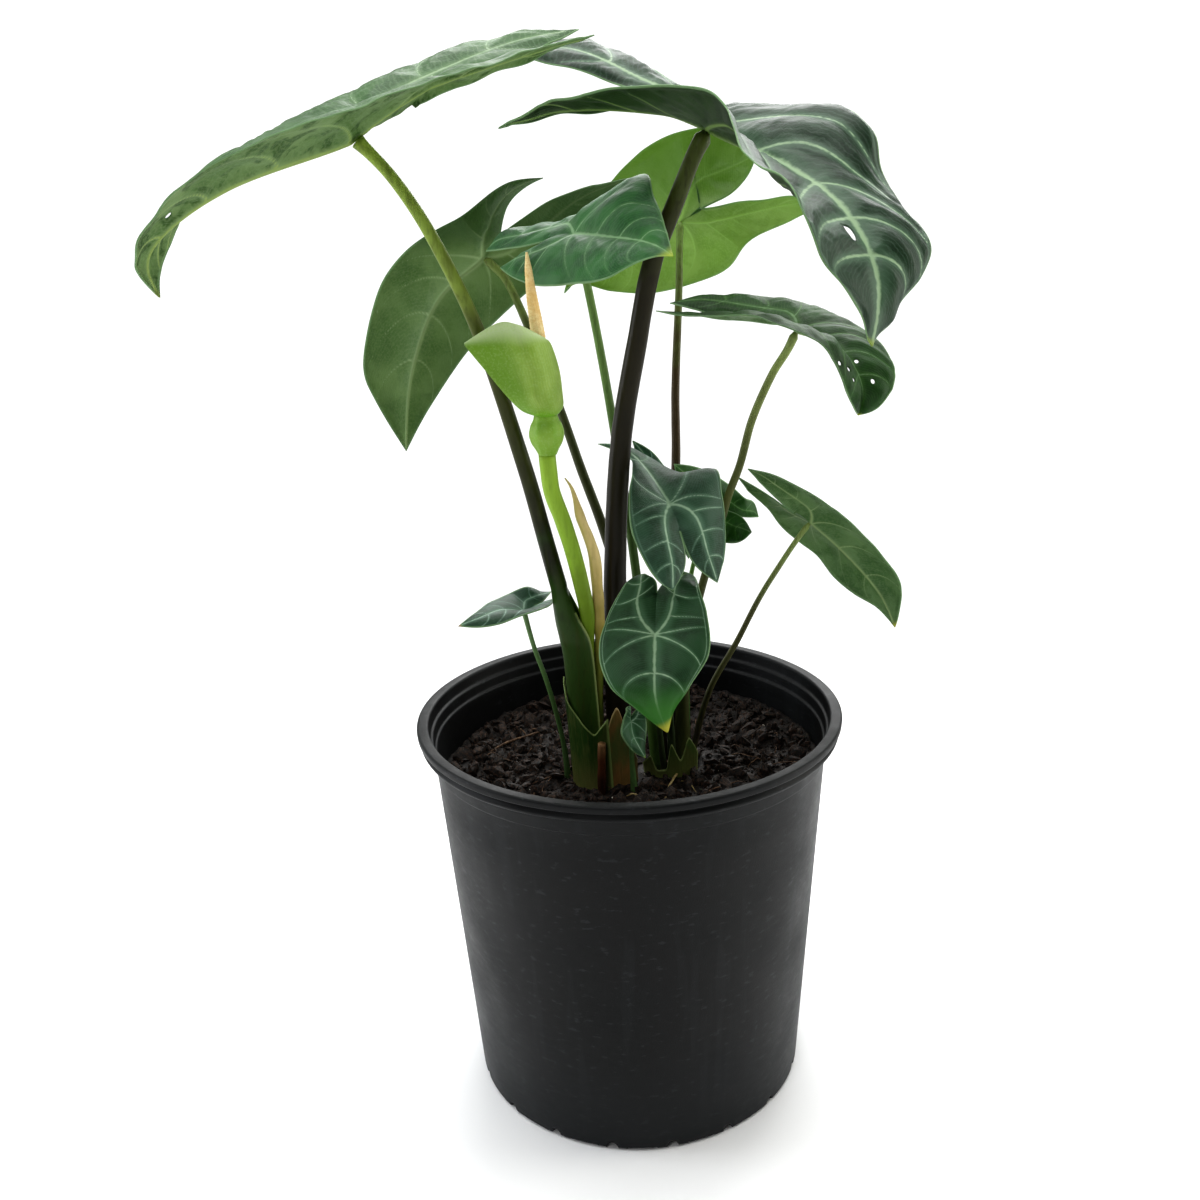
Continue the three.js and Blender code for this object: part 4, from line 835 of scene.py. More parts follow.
def upper_side(name, look):
    """Leaf skin, waxy and smooth: mottled green, finest veins, haze, silver veins, margin and tip."""
    material, tree = blank_material(name)
    reach, edge, row, comb = (add(tree, "ShaderNodeAttribute", attribute_name=key).outputs["Fac"]
                              for key in ("vein", "edge", "row", "comb"))
    patches, grain, lines = noise_at(tree, 16), noise_at(tree, 1.3, 3.0), hair_lines(tree, comb, 0.16)
    fuzzy, streaky = (add(tree, "ShaderNodeMath", {0: noise_at(tree, size), 1: much, 2: reach},
                          operation="MULTIPLY_ADD").outputs[0] for size, much in ((5, 2.4), (3, 1.5)))
    streaky = add(tree, "ShaderNodeMath", {0: streaky, 1: 0.55}, operation="SUBTRACT").outputs[0]
    colour = painted(tree, linear(look["dark"]), [
        (patches, 0.38, 0.62, look["light"]),
        (grain, 0.36, 0.56, (look["light"], 0.55)),
        (lines, 0.0, 0.35, (look["haze"], look["lines"])),
        (fuzzy, 1.6, look["reach"], (look["haze"], look["halo"])),
        (streaky, 0.5, 1.5, (look["vein"], look["silver"])),
        (edge, 0.35, 0.9, (look["margin"], 0.85)),
        *[(row, full, gone, (over, 0.9)) for full, gone, over in look["tip"]],
    ])
    relief = painted(tree, grey(0.35), [
        (grain, 0.3, 0.7, (WHITE, 0.35)),
        (lines, 0.0, 0.5, (BLACK, 0.25)),
        (reach, 0.5, 1.6, (BLACK, 0.8)),
    ])
    living_skin(tree, colour, linear(look["through"]), look["share"], look["gloss"], relief, 0.22)
    return material


print("hair lines in each row of a blade: %.1f" % (HAIR_LINES / (2 * np.pi)))

# %% [markdown]
# The underside has no wax to speak of, so it is paler and duller. The veins stand out there as round
# ribs, and the quilting shows as blotches between them. Some leaves are darker above a certain height,
# where another leaf keeps the light off.

# %% The underside of a leaf
BLOTCH, PATCH = 9, 26


def underside(name, look):
    """Leaf skin below: matt, pale grey-green, darker blotches, light ribs with a dark foot."""
    material, tree = blank_material(name)
    reach, edge, row, comb = (add(tree, "ShaderNodeAttribute", attribute_name=key).outputs["Fac"]
                              for key in ("vein", "edge", "row", "comb"))
    blotches, patches, grain = noise_at(tree, BLOTCH, 2.0), noise_at(tree, PATCH), noise_at(tree, 1.2, 3.0)
    depth = add(tree, "ShaderNodeMath", {0: height_at(tree), 1: -1.0}, operation="MULTIPLY").outputs[0]
    lines = hair_lines(tree, comb, 0.14)
    colour = painted(tree, linear(look["under"]), [
        (patches, 0.35, 0.65, (look["under_light"], 0.8)),
        (blotches, 0.4, 0.5, (look["blotch"], look["spots"])),
        (grain, 0.36, 0.56, (look["under_light"], 0.4)),
        (lines, 0.0, 0.35, (look["under_light"], 0.25)),
        (reach, 0.95, 2.6, (look["under_haze"], 0.5)),
        (reach, 0.5, 1.3, (look["rib"], 0.75)),
        (edge, 0.5, 1.4, (look["margin"], 0.8)),
        *[(row, full, gone, (over, 0.9)) for full, gone, over in look["tip"]],
        *[(depth, full, gone, (over, 0.7)) for full, gone, over in look["shade"]],
    ])
    relief = painted(tree, grey(0.4), [(grain, 0.3, 0.7, (WHITE, 0.4)), (lines, 0.0, 0.5, (WHITE, 0.3))])
    living_skin(tree, colour, linear(look["through"]), look["share"] + 0.06, 0.55, relief, 0.2)
    return material


print("blotches of", BLOTCH, "mm and patches of", PATCH, "mm below")

# %% [markdown]
# Old leaves are the darkest, with the strongest silver. The one at the back has the light behind it and
# glows. The small new leaves are brighter, and one of them has a bright green end with a yellow tip. One
# material with a random tint per object wouldn't show that, so each leaf names what differs from the
# usual look: colours, how wide its ribs are, how strongly it is quilted, and where it has holes. Some
# colours are painted light and shade: a painted sheen on leaf_01's upper side, painted shade on the
# undersides of leaf_02 and leaf_04 and in each shade entry, and a painted glow on leaf_05's underside.

# %% The looks of the leaves
BASE_LOOK = dict(
    dark="#142a17", light="#203c20", haze="#48694a", halo=0.4, reach=6.0, vein="#a6bf9c", silver=0.85,
    lines=0.22, margin="#86a878", gloss=0.48, share=0.22, through="#5c8f24", tip=[],
    under="#557348", under_light="#7d9a6a", blotch="#3d5a34", spots=0.5, under_haze="#93ac7c",
    rib="#a9c084", shade=[], rib_width=0.8, veins=4, quilt=0.9, star=False, holes=[],
)
LOOKS = {
    # leaf_01: its upper side colours are painted lighter and greener, a painted sheen of light at a grazing
    # angle
    "leaf_01": dict(
        dark="#3a5a34", light="#527548", haze="#7a9a6c", halo=0.5, vein="#a5bf94", lines=0.3,
        under="#5d7b45", under_light="#86a069", blotch="#3f5a2c", under_haze="#9cb57c", rib="#aabf6c",
        rib_width=1.6, share=0.26, quilt=1.6, spots=1.0, tip=[(0.02, 0.3, "#8c9a4c")],
        holes=[("left", 1.43, 0.25, 1.6, 1.0)]),
    # leaf_02: its underside colours are painted near black, a painted shade
    "leaf_02": dict(
        dark="#14281a", light="#213a26", haze="#607d64", vein="#a9c59c", rib_width=2.3, quilt=1.9,
        halo=0.7, reach=7.5, veins=5, under="#1a2a10", under_light="#2c4020", blotch="#142010",
        under_haze="#4a5f38", rib="#7f9a55", tip=[(0.02, 0.12, "#93a844")],
        holes=[("right", 1.33, 0.17, 4.3, 2.4)]),
    "leaf_03": dict(
        under="#5a7642", under_light="#7f9a60", blotch="#4a6636", under_haze="#97ad7a", rib="#9db57c",
        rib_width=1.1, quilt=0.8, share=0.3, spots=0.3, through="#5f9030",
        shade=[(-0.462, -0.448, "#26401c")]),
    # leaf_04: its underside colours are painted dark, a painted shade on its back lobe
    "leaf_04": dict(
        dark="#24502c", light="#38703a", haze="#5f8d58", halo=0.5, vein="#9cbf92", silver=0.7,
        rib_width=1.15, quilt=1.1, tip=[(0.05, 0.42, "#b9cc4c")], through="#5c9030", under="#2f4a24",
        under_light="#46643a", blotch="#263d1d", under_haze="#5f7c4c", rib="#7f9c5c"),
    # leaf_05: its underside colours are painted brighter, a painted glow of the lamp behind it over its real
    # translucency
    "leaf_05": dict(
        under="#7d9c52", under_light="#a3bf74", blotch="#58793a", under_haze="#a6c37a", rib="#a8cc72",
        rib_width=1.0, quilt=1.2, share=0.36, spots=0.35, through="#a9cc5c", dark="#24481f",
        light="#355f2a", shade=[(-0.482, -0.455, "#274a12")]),
    "leaf_06": dict(
        dark="#17340f", light="#264c1c", haze="#55803f", halo=0.45, vein="#86a878", silver=0.6,
        rib_width=1.0, quilt=1.4, gloss=0.55, tip=[(0.02, 0.16, "#b3bd5a")],
        holes=[("right", 1.41, 0.84, 1.1, 1.1), ("right", 1.31, 0.58, 1.3, 1.0),
               ("right", 1.11, 0.51, 1.1, 0.9), ("left", 1.51, 0.1, 1.2, 1.0),
               ("left", 0.96, 0.29, 1.2, 1.0)]),
    "leaf_07": dict(
        dark="#1c4018", light="#2b5724", haze="#5a8a46", halo=0.25, vein="#88ac6a", silver=0.5, veins=3,
        tip=[(0.03, 0.2, "#c2bd4e")], through="#5f9a2c"),
    "leaf_08": dict(
        dark="#263f30", light="#385843", haze="#6c9076", halo=0.6, reach=7.5, vein="#aecbac",
        rib_width=1.0, veins=2, quilt=0.5, gloss=0.5, lines=0.15, star=True),
    "leaf_09": dict(
        dark="#1a371f", light="#2b4f30", haze="#5f8564", halo=0.6, reach=7.5, vein="#a9c6a2",
        rib_width=1.1, veins=2, quilt=0.6, gloss=0.5, lines=0.15, star=True,
        tip=[(0.5, 1.7, "#3f7f2c"), (0.08, 0.36, "#cfc94a")]),
    "leaf_10": dict(
        dark="#284534", light="#3a5b47", haze="#6f9480", halo=0.6, vein="#a9c8b0", silver=0.8,
        rib_width=0.7, veins=3, quilt=0.5, tip=[(0.04, 0.2, "#a98a5a")], gloss=0.45),
    "leaf_11": dict(
        dark="#22452c", light="#33603c", haze="#6d9c79", halo=0.6, vein="#b5d4b5", silver=0.9,
        rib_width=0.55, veins=2, quilt=0.25, tip=[(0.05, 0.3, "#8fb04a")]),
    "leaf_12": dict(
        dark="#1f451a", light="#2f5c26", haze="#5a8a48", vein="#8fb878", silver=0.6, rib_width=0.6,
        veins=3, quilt=0.4, under="#2f5a20", under_light="#4a7634", blotch="#284c1c",
        under_haze="#6a9050", rib="#8fb468", through="#6fa030"),
    "leaf_13": dict(
        dark="#1f3f2c", light="#2e5640", haze="#5f8f76", halo=0.6, vein="#aecdb2", rib_width=0.7,
        veins=3, quilt=0.45),
}
print("holes in each leaf:", {key: len(look["holes"]) for key, look in LOOKS.items() if "holes" in look})

# %% Make the blades
for key, leaf in LEAVES.items():
    look = {**BASE_LOOK, **LOOKS[key]}
    skins = [upper_side("leaf_skin_top_" + key[-2:], look), underside("leaf_skin_below_" + key[-2:], look)]
    make_blade(key, {**leaf, **look}, skins, "leaf_young" if key > "leaf_10" else "leaf_dark")

# %% [markdown]
# ## The petioles
# A petiole is a smooth juicy stalk. It is dark mottled brown where it leaves the soil and turns olive and
# then yellow-green towards the blade. It widens a little where it runs into the blade. The mottling could
# be an image wrapped round it, but noise that is drawn out lengthwise has no seam and no end.

# %% Petiole skin
def petiole_skin(name, low, middle, high, turn_low=0.35, turn_high=0.85, mottle=0.25):
    """Stalk skin, smooth and waxy: three colours up its length, streaks and flecks drawn out along it."""
    material, tree = blank_material(name)
    height = add(tree, "ShaderNodeAttribute", attribute_name="height").outputs["Fac"]
    streaks, flecks = noise_at(tree, 2.2, 3.0, (1, 1, 0.12)), noise_at(tree, 1.6, 2.0, (1, 1, 0.35))
    bands = noise_at(tree, 14, 2.0, (0.6, 0.6, 1))
    uneven = add(tree, "ShaderNodeMath", {0: bands, 1: 0.25, 2: height}, operation="MULTIPLY_ADD").outputs[0]
    colour = painted(tree, linear(high), [
        (uneven, turn_high - 0.1, turn_high + 0.22, middle),
        (uneven, turn_low - 0.1, turn_low + 0.3, low),
        (streaks, 0.3, 0.55, (middle, 0.35)),
        (flecks, 0.34, 0.44, (low, mottle)),
    ])
    relief = painted(tree, grey(0.5), [(streaks, 0.3, 0.7, (WHITE, 0.8))])
    living_skin(tree, colour, linear(middle), 0.06, 0.4, relief, 0.12, 0.28)
    return material


def below_the_blade(route, gap=1.2):
    """The route with its first point moved along it, so that the stalk ends just under the blade."""
    first, second = np.array(route[0], float), np.array(route[1], float)
    first = first + (second - first) / np.linalg.norm(second - first) * gap
    return [first.tolist(), *route[1:]]


PETIOLES = {
    "leaf_01": ("#1c1a0c", "#40441a", "#8fa648"),
    "leaf_02": ("#181408", "#26220f", "#4c5a26", 0.55, 1.0),
    "leaf_03": ("#2c241b", "#454a2a", "#7b8f4c", 0.45, 0.95),
    "leaf_04": ("#46602a", "#4d6834", "#6f8f4c", 0.25, 0.8),
    "leaf_05": ("#33261d", "#4a3c28", "#6f8a44", 0.5, 0.9),
    "leaf_06": ("#4a4f2a", "#5c6236", "#8a9a58", 0.3, 0.9),
    "leaf_07": ("#3a3424", "#5c5d38", "#8c9f5c", 0.25, 0.8),
    "leaf_08": ("#35402a", "#4d5f3c", "#6f8a5a", 0.2, 0.8),
    "leaf_09": ("#35402a", "#4d5f3c", "#6f8a5a", 0.2, 0.8),
    "leaf_10": ("#3f5630", "#557343", "#6f8f5c", 0.15, 0.8),
    "leaf_11": ("#3f5630", "#557343", "#6f8f5c", 0.15, 0.8),
    "leaf_12": ("#3f5630", "#557f3c", "#86b25c", 0.15, 0.8),
    "leaf_13": ("#35402a", "#4d5f3c", "#6f8a5a", 0.2, 0.8),
}
print("petioles:", len(PETIOLES))

# %% [markdown]
# The largest petiole on the left is a gutter low down: its base opened to let the flower stalk out, and
# its two edges are thin and pale. Cutting the opening with a boolean would leave ragged triangles, so
# each ring there goes round the outside and comes back round the inside.

# %% The sheathing petiole
# In millimetres, with heights above the floor; the mouth is half its opening in degrees. Flare is how
# much wider a petiole gets where it meets the blade.
GUTTER = dict(wall=2.0, closed_above=290.0, open_below=262.0, mouth=42.0)
FLARE = 0.35


def gutter_stalk(route, radii, gutter, half=20, step=2.5):
    """Rings of an outside arc and an inside arc. The inside is the missing piece of the circle where the
    stalk is solid, and a circle one wall smaller where it is open. Also the share of the length and the
    distance to the rim, in millimetres."""
    centre, x, y, share = stations(route, step)
    y = y * np.where(y[:, 1:2] < 0, -1, 1)
    flared = 1 + FLARE * np.exp(-share * len(share) * step / 5)
    radius = (value_at(radii, centre[:, 2]) * flared)[:, None]
    is_open = value_at([[gutter["open_below"], 1], [gutter["closed_above"], 0]], centre[:, 2])[:, None]
    mouth = np.radians(gutter["mouth"])
    turn = np.linspace(0, 1, half + 1)[None]
    round_angle, short_angle = mouth + (2 * np.pi - 2 * mouth) * turn, mouth - 2 * mouth * turn
    taper = 0.35 + 0.65 * np.clip(np.minimum(turn, 1 - turn) / 0.2, 0, 1) ** 0.7
    hollow = radius - gutter["wall"] * taper
    u, w = (np.hstack([radius * wave(round_angle), (radius * wave(short_angle) * (1 - is_open)
                       + hollow * wave(round_angle) * is_open)[:, ::-1]]) for wave in (np.cos, np.sin))
    points = centre[:, None] + u[..., None] * x[:, None] + w[..., None] * y[:, None]
    rim = np.hstack([np.minimum(turn, 1 - turn)] * 2) * 2 * np.pi * radius
    rim = np.where(is_open > 0.5, rim, 50)
    rim = np.concatenate([rim[:1], rim, rim[-1:]]).ravel()
    share = np.repeat(np.r_[0, share, 1], points.shape[1])
    points, faces, first = closed_surface(points, points.mean(1)[[0, -1]])
    return points, faces, 1 - share[first], rim[first]


def sheathing_skin(low, middle, high):
    """Stalk skin whose base is a green sheath with thin pale edges."""
    material, tree = blank_material("petiole_skin_sheathing")
    height, rim = (add(tree, "ShaderNodeAttribute", attribute_name=key).outputs["Fac"]
                   for key in ("height", "rim"))
    streaks, flecks = noise_at(tree, 2.4, 3.0, (1, 1, 0.1)), noise_at(tree, 1.6, 2.0, (1, 1, 0.3))
    bands = noise_at(tree, 14, 2.0, (0.6, 0.6, 1))
    uneven = add(tree, "ShaderNodeMath", {0: bands, 1: 0.2, 2: height}, operation="MULTIPLY_ADD").outputs[0]
    colour = painted(tree, linear(high), [
        (uneven, 0.72, 1.02, middle),
        (uneven, 0.46, 0.8, low),
        (uneven, 0.4, 0.52, "#334d1c"),
        (streaks, 0.3, 0.55, (middle, 0.4)),
        (flecks, 0.34, 0.44, (low, 0.2)),
        (rim, 0.3, 2.2, ("#a9b878", 0.8)),
    ])
    relief = painted(tree, grey(0.5), [(streaks, 0.3, 0.7, (WHITE, 0.8))])
    living_skin(tree, colour, linear("#6f9a34"), 0.1, 0.4, relief, 0.15, 0.3)
    return material


print("the gutter is open up to %.0f mm" % GUTTER["open_below"])

# %% Make the petioles
# The heights in millimetres where a petiole ends: on a crown, or in the soil if it has its own foot.
FOOT_ON_CROWN, FOOT_IN_SOIL = 176, 172
for key, leaf in LEAVES.items():
    low_end = FOOT_IN_SOIL if leaf.get("own_foot") else FOOT_ON_CROWN
    route = below_the_blade([p for p in leaf["route"] if p[2] >= low_end])
    if key == "leaf_01":
        points, faces, height, rim = gutter_stalk(route, leaf["radii"], GUTTER)
        skin, values = sheathing_skin(*PETIOLES[key]), {"height": height, "rim": rim}
    else:
        points, faces, height = stalk(route, leaf["radii"], flare=FLARE)
        skin, values = petiole_skin("petiole_skin_" + key[-2:], *PETIOLES[key]), {"height": height}
    make_piece(key + "_stalk", points, faces, [skin], values, slot="petiole", nodes=[key + "_petiole"])

# %% [markdown]
# ## The pot
# A nursery pot is blow-moulded from black polyethylene: a thin tapered wall, a band and a round bead
# under the flat lip, two ledges inside, and drain holes round the foot. It is turned on its axis, so its
# profile is carried round a circle, as the Screw modifier would do. Only the foot changes round the
# circle, where the drains are, and that is easier when the points are at hand.

# %% The profile of the pot
# In millimetres: heights, radii, and the angle of the first drain in degrees.
POT_HEIGHT, POT_RIM = 212, 114
SHOULDER, SHOULDER_Z = 105.4, 193
POT_BASE, POT_WALL, POT_FLOOR = 92, 1.8, 2.5
SLOPE = (SHOULDER - POT_BASE) / SHOULDER_Z
POT_PROFILE = [
    [0, 0], [84, 0], [POT_BASE - 1.2, 0], [POT_BASE + SLOPE * 1.4, 1.4], [POT_BASE + SLOPE * 6, 6],
    [SHOULDER, SHOULDER_Z], [SHOULDER + 1.6, 193.8], [SHOULDER + 2.4, 201.5], [POT_RIM - 1.8, 203.3],
    [POT_RIM - 1.2, 205], [POT_RIM - 2.8, 206.6], [POT_RIM - 2.6, 207.8], [POT_RIM - 0.2, 208.2],
    [POT_RIM, 211.2], [POT_RIM - 0.8, POT_HEIGHT], [POT_RIM - 5.6, POT_HEIGHT], [POT_RIM - 6.4, 211.2],
    [POT_RIM - 6.9, 205.6], [SHOULDER + 0.1, 204.8], [SHOULDER - 0.2, 199.4], [SHOULDER - 1.6, 198.6],
    [SHOULDER - POT_WALL, 192], [POT_BASE - POT_WALL + SLOPE * 6, 6], [POT_BASE - POT_WALL, POT_FLOOR],
    [84, POT_FLOOR], [0, POT_FLOOR],
]
DRAINS, DRAIN_RADIUS, DRAIN_Z, FIRST_DRAIN, SLOT_WIDTH, SLOT_Z = 18, 2.8, 1.6, -80, 16, 1.6


def rounded(profile, radius, steps=4):
    """A profile with each inner corner replaced by a curve: it leaves one side at the radius from the
    corner, or half-way along a shorter side, and is a parabola towards the same place on the next."""
    points = np.array(profile, float)
    before, here, after = points[:-2], points[1:-1], points[2:]
    reach = [np.linalg.norm(end - here, axis=1, keepdims=True) for end in (before, after)]
    leave = here + (before - here) * np.minimum(0.5, radius / reach[0])
    join = here + (after - here) * np.minimum(0.5, radius / reach[1])
    s = np.linspace(0, 1, steps)[None, :, None]
    curve = leave[:, None] * (1 - s) ** 2 + here[:, None] * 2 * s * (1 - s) + join[:, None] * s**2
    return np.vstack([points[:1], curve.reshape(-1, 2), points[-1:]])


def filled(profile, longest):
    """The same profile with points added on sides longer than the given length."""
    points = np.array(profile, float)
    parts = []
    for start, end in zip(points[:-1], points[1:]):
        count = max(1, int(np.ceil(np.linalg.norm(end - start) / longest)))
        parts.append(start + (end - start) * np.linspace(0, 1, count, endpoint=False)[:, None])
    return np.vstack(parts + [points[-1:]])


def foot_height(angle):
    """How high the foot is cut away at an angle: an arch over each drain, and a low slot between two."""
    turn = np.degrees(angle) - FIRST_DRAIN
    pitch = 360 / DRAINS
    off = np.radians((turn + pitch / 2) % pitch - pitch / 2) * POT_BASE
    arch = DRAIN_Z + np.sqrt(np.maximum(DRAIN_RADIUS**2 - off**2, 0))
    between = np.radians(turn % pitch - pitch / 2) * POT_BASE
    slot = SLOT_Z * (1 - smooth_step(np.abs(between), SLOT_WIDTH / 2 - 0.5, SLOT_WIDTH / 2))
    return np.where(np.abs(off) < DRAIN_RADIUS, arch, slot)


def make_pot(columns=720):
    """The profile carried round the axis. Points near the foot are lifted to foot_height, full at the
    outer edge of the floor and fading up the wall, and the inside there stays a wall above it. The circle
    is uneven by up to 0.2 mm, as a pot is that was pulled warm from its mould."""
    profile = filled(rounded(POT_PROFILE, 0.7), 12)
    angle = angles(columns)
    radius, height = profile[:, :1], profile[:, 1:] + 0 * angle
    cut = foot_height(angle)[None]
    inner = (np.arange(len(profile)) > len(profile) // 2)[:, None]
    near = smooth_step(radius, 84.5, 86.5) * (height < 6.5)
    lifted = np.where(inner, np.maximum(height, cut + 1.2), np.maximum(height, cut))
    height = height + (lifted - height) * near
    uneven = 0.12 * np.sin(3 * angle + 0.7) + 0.08 * np.sin(7 * angle)
    wide = radius + uneven[None] * smooth_step(radius, 60, 92)
    return closed_surface(np.stack([wide * np.cos(angle), wide * np.sin(angle), height], -1))[:2]


print("points in the pot's profile:", len(POT_PROFILE), "and rounded:", len(rounded(POT_PROFILE, 0.7)))

# %% [markdown]
# Polyethylene comes out of its mould dull and a little waxy. Scuffs and dust make it uneven, and near the
# foot it is painted greyer: dust, and a painted reflection of the pale floor. A single black would look
# like a cut-out, so both its colour and its roughness change from place to place.

# %% Pot plastic
def pot_plastic():
    """Black polyethylene, blow-moulded: satin, a fine pebble grain, scuffs, dust, faint drip marks, and a
    grey foot that is dust and a painted reflection of the floor.
    """
    material, tree = blank_material("black_polyethylene_moulded")
    grain, cloud = noise_at(tree, 0.7, 3.0), noise_at(tree, 40, 5.0)
    scuff, drip = noise_at(tree, 6, 6.0, (1, 1, 2.4)), noise_at(tree, 9, 4.0, (1, 1, 0.08))
    colour = painted(tree, linear("#08090a"), [
        (cloud, 0.35, 0.65, ("#101213", 0.75)),
        (drip, 0.34, 0.46, ("#1e2123", 0.25)),
        (scuff, 0.3, 0.4, ("#303437", 0.3)),
        # greyer towards the foot: dust, and a painted reflection of the pale floor in front
        (height_at(tree), 0.0, 0.09, ("#1d2022", 0.6)),
    ])
    rough = add(tree, "ShaderNodeMapRange", {0: cloud, 1: 0.3, 2: 0.7, 3: 0.5, 4: 0.36}).outputs[0]
    rough = add(tree, "ShaderNodeMath", {0: scuff, 1: 0.12, 2: rough}, operation="MULTIPLY_ADD").outputs[0]
    dead_skin(tree, colour, rough, grain, 0.05, 1.51, 0.2)
    return material


make_piece("nursery_pot", *make_pot(), [pot_plastic()], slot="pot_plastic", nodes=["pot"])

# %% [markdown]
# ## The soil
# The mix is dark damp peat with bits of composted bark, fine root fibres and a few white grains of
# perlite. Heaping it up with a physics simulation would take long and settle a little differently each
# time. Here the peat is one body with a lumpy top that sinks round the plant's crowns, and the larger
# bits are shapes of their own, pressed into it.

# %% The body of soil
# The ellipses of the two crowns, the soil's level, its radius, how deep it goes under a crown, and the
# radius and height of the rings of its floor and wall.
LEFT_CLUMP = dict(x=-13, y=-11.5, half_width=16.6, half_depth=11.8)
RIGHT_CLUMP = dict(x=22.5, y=1, half_width=14.6, half_depth=12.8)
SOIL_LEVEL, SOIL_RADIUS, CROWN_FOOT = 176, 103.0, 173
SOIL_BOTTOM = np.array([[0, 2.9], [45, 2.9], [88.9, 2.9], [89.6, 7.0]])


def outside_of(clump, x, y):
    """How far outside a crown a place lies, in millimetres; below zero within it."""
    along = np.hypot((x - clump["x"]) / clump["half_width"], (y - clump["y"]) / clump["half_depth"])
    return (along - 1) * min(clump["half_width"], clump["half_depth"])


def outside_crowns(x, y):
    """How far a place lies outside the nearer crown."""
    return np.minimum(outside_of(LEFT_CLUMP, x, y), outside_of(RIGHT_CLUMP, x, y))


def soil_top(x, y):
    """The height of the soil: level in the middle, 8 mm higher at the back right wall, with lumps of
    three sizes that fade out towards each crown."""
    radius, angle = np.hypot(x, y), np.arctan2(y, x)
    height = SOIL_LEVEL + 8 * (radius / 98) ** 2 * (0.5 + 0.5 * np.cos(angle - np.radians(50)))
    flat = np.stack([x, y, 0 * x], -1)
    lumps = 1.7 * waves(flat, 24, 5) + 1.1 * waves(flat, 9, 6) + 0.7 * waves(flat, 4, 7, 14)
    return height + lumps * smooth_step(outside_crowns(x, y), 0, 8) - 0.4


def make_soil(rings=92, columns=300):
    """A turned body: the floor, the wall and the top, whose height at each place is soil_top. Inside the
    crowns the top is pressed down to their foot."""
    angle = angles(columns)
    radius = np.r_[SOIL_BOTTOM[:, 0], np.linspace(SOIL_RADIUS, 0, rings)][:, None]
    x, y = radius * np.cos(angle), radius * np.sin(angle)
    height = soil_top(x, y)
    height = height + (CROWN_FOOT - height) * (1 - smooth_step(outside_crowns(x, y), -0.8, 0.6))
    height[:len(SOIL_BOTTOM)] = SOIL_BOTTOM[:, 1:]
    return closed_surface(np.stack([x, y, height], -1))[:2]


def peat(name, dark, light, size):
    """Damp peat and bark: almost black, matt, with browner crumbs and a few damp glints."""
    material, tree = blank_material(name)
    crumbs, specks, damp = noise_at(tree, size, 5.0), noise_at(tree, 0.6, 3.0), noise_at(tree, 12)
    colour = painted(tree, linear(dark), [
        (crumbs, 0.38, 0.56, (light, 0.8)),
        (specks, 0.3, 0.42, ("#5c4534", 0.5)),
    ])
    rough = add(tree, "ShaderNodeMapRange", {0: damp, 1: 0.35, 2: 0.65, 3: 0.62, 4: 0.9}).outputs[0]
    dead_skin(tree, colour, rough, specks, 0.35, 1.4)
    return material


damp_peat = peat("damp_peat", "#0e0a08", "#221812", 3.0)
make_piece("potting_mix", *make_soil(), [damp_peat], slot="potting_soil", nodes=["soil"])

# %% [markdown]
# A bit of bark or a grain of perlite is a lump of twenty faces, the corners of which are pushed in and
# out. Thousands of objects would be slow to handle, so all the lumps of a kind are one mesh, made as
# whole arrays: the same twelve corners, each time stretched, turned and put somewhere else. Their faces
# stay flat, because broken bark has edges.

# %% Bark and perlite
def lump_corners():
    """The twelve corners and twenty faces of a regular icosahedron of radius 1."""
    gold = (1 + 5**0.5) / 2
    corners = np.array([[-1, gold, 0], [1, gold, 0], [-1, -gold, 0], [1, -gold, 0], [0, -1, gold],
                        [0, 1, gold], [0, -1, -gold], [0, 1, -gold], [gold, 0, -1], [gold, 0, 1],
                        [-gold, 0, -1], [-gold, 0, 1]])
    faces = np.array([[0, 11, 5], [0, 5, 1], [0, 1, 7], [0, 7, 10], [0, 10, 11], [1, 5, 9], [5, 11, 4],
                      [11, 10, 2], [10, 7, 6], [7, 1, 8], [3, 9, 4], [3, 4, 2], [3, 2, 6], [3, 6, 8],
                      [3, 8, 9], [4, 9, 5], [2, 4, 11], [6, 2, 10], [8, 6, 7], [9, 8, 1]])
    return corners / np.linalg.norm(corners[0]), np.hstack([faces, faces[:, 2:]])


def scattered(count, sizes, flatness, seed):
    """Lumps on the soil: centres even over the disc outside the crowns, sizes between two limits with
    most near the lower one, three axes in random directions, corners uneven by a quarter."""
    draw = np.random.default_rng(seed)
    tries = 4 * count
    radius, angle = 101 * np.sqrt(draw.uniform(0.0, 1, tries)), draw.uniform(0, 2 * np.pi, tries)
    x, y = radius * np.cos(angle), radius * np.sin(angle)
    free = outside_crowns(x, y) > 2.5
    x, y = x[free][:count], y[free][:count]
    size = sizes[0] + (sizes[1] - sizes[0]) * draw.uniform(0, 1, len(x)) ** 2.4
    x, y = (c * np.minimum(1, (101.3 - size) / np.hypot(x, y)) for c in (x, y))
    corners, faces = lump_corners()
    stretch = [np.ones(len(x)), draw.uniform(0.35, 0.85, len(x)), draw.uniform(*flatness, len(x))]
    stretch = size[:, None] * np.stack(stretch, 1)
    shapes = corners[None] * draw.uniform(0.72, 1.2, (len(x), 12, 1)) * stretch[:, None]
    ways = np.linalg.qr(draw.normal(size=(len(x), 3, 3)))[0]
    points = np.einsum("nij,nkj->nki", ways, shapes)
    points += np.stack([x, y, soil_top(x, y) + 0.25 * size], 1)[:, None]
    faces = faces[None] + 12 * np.arange(len(x))[:, None, None]
    return points.reshape(-1, 3), faces.reshape(-1, 4)


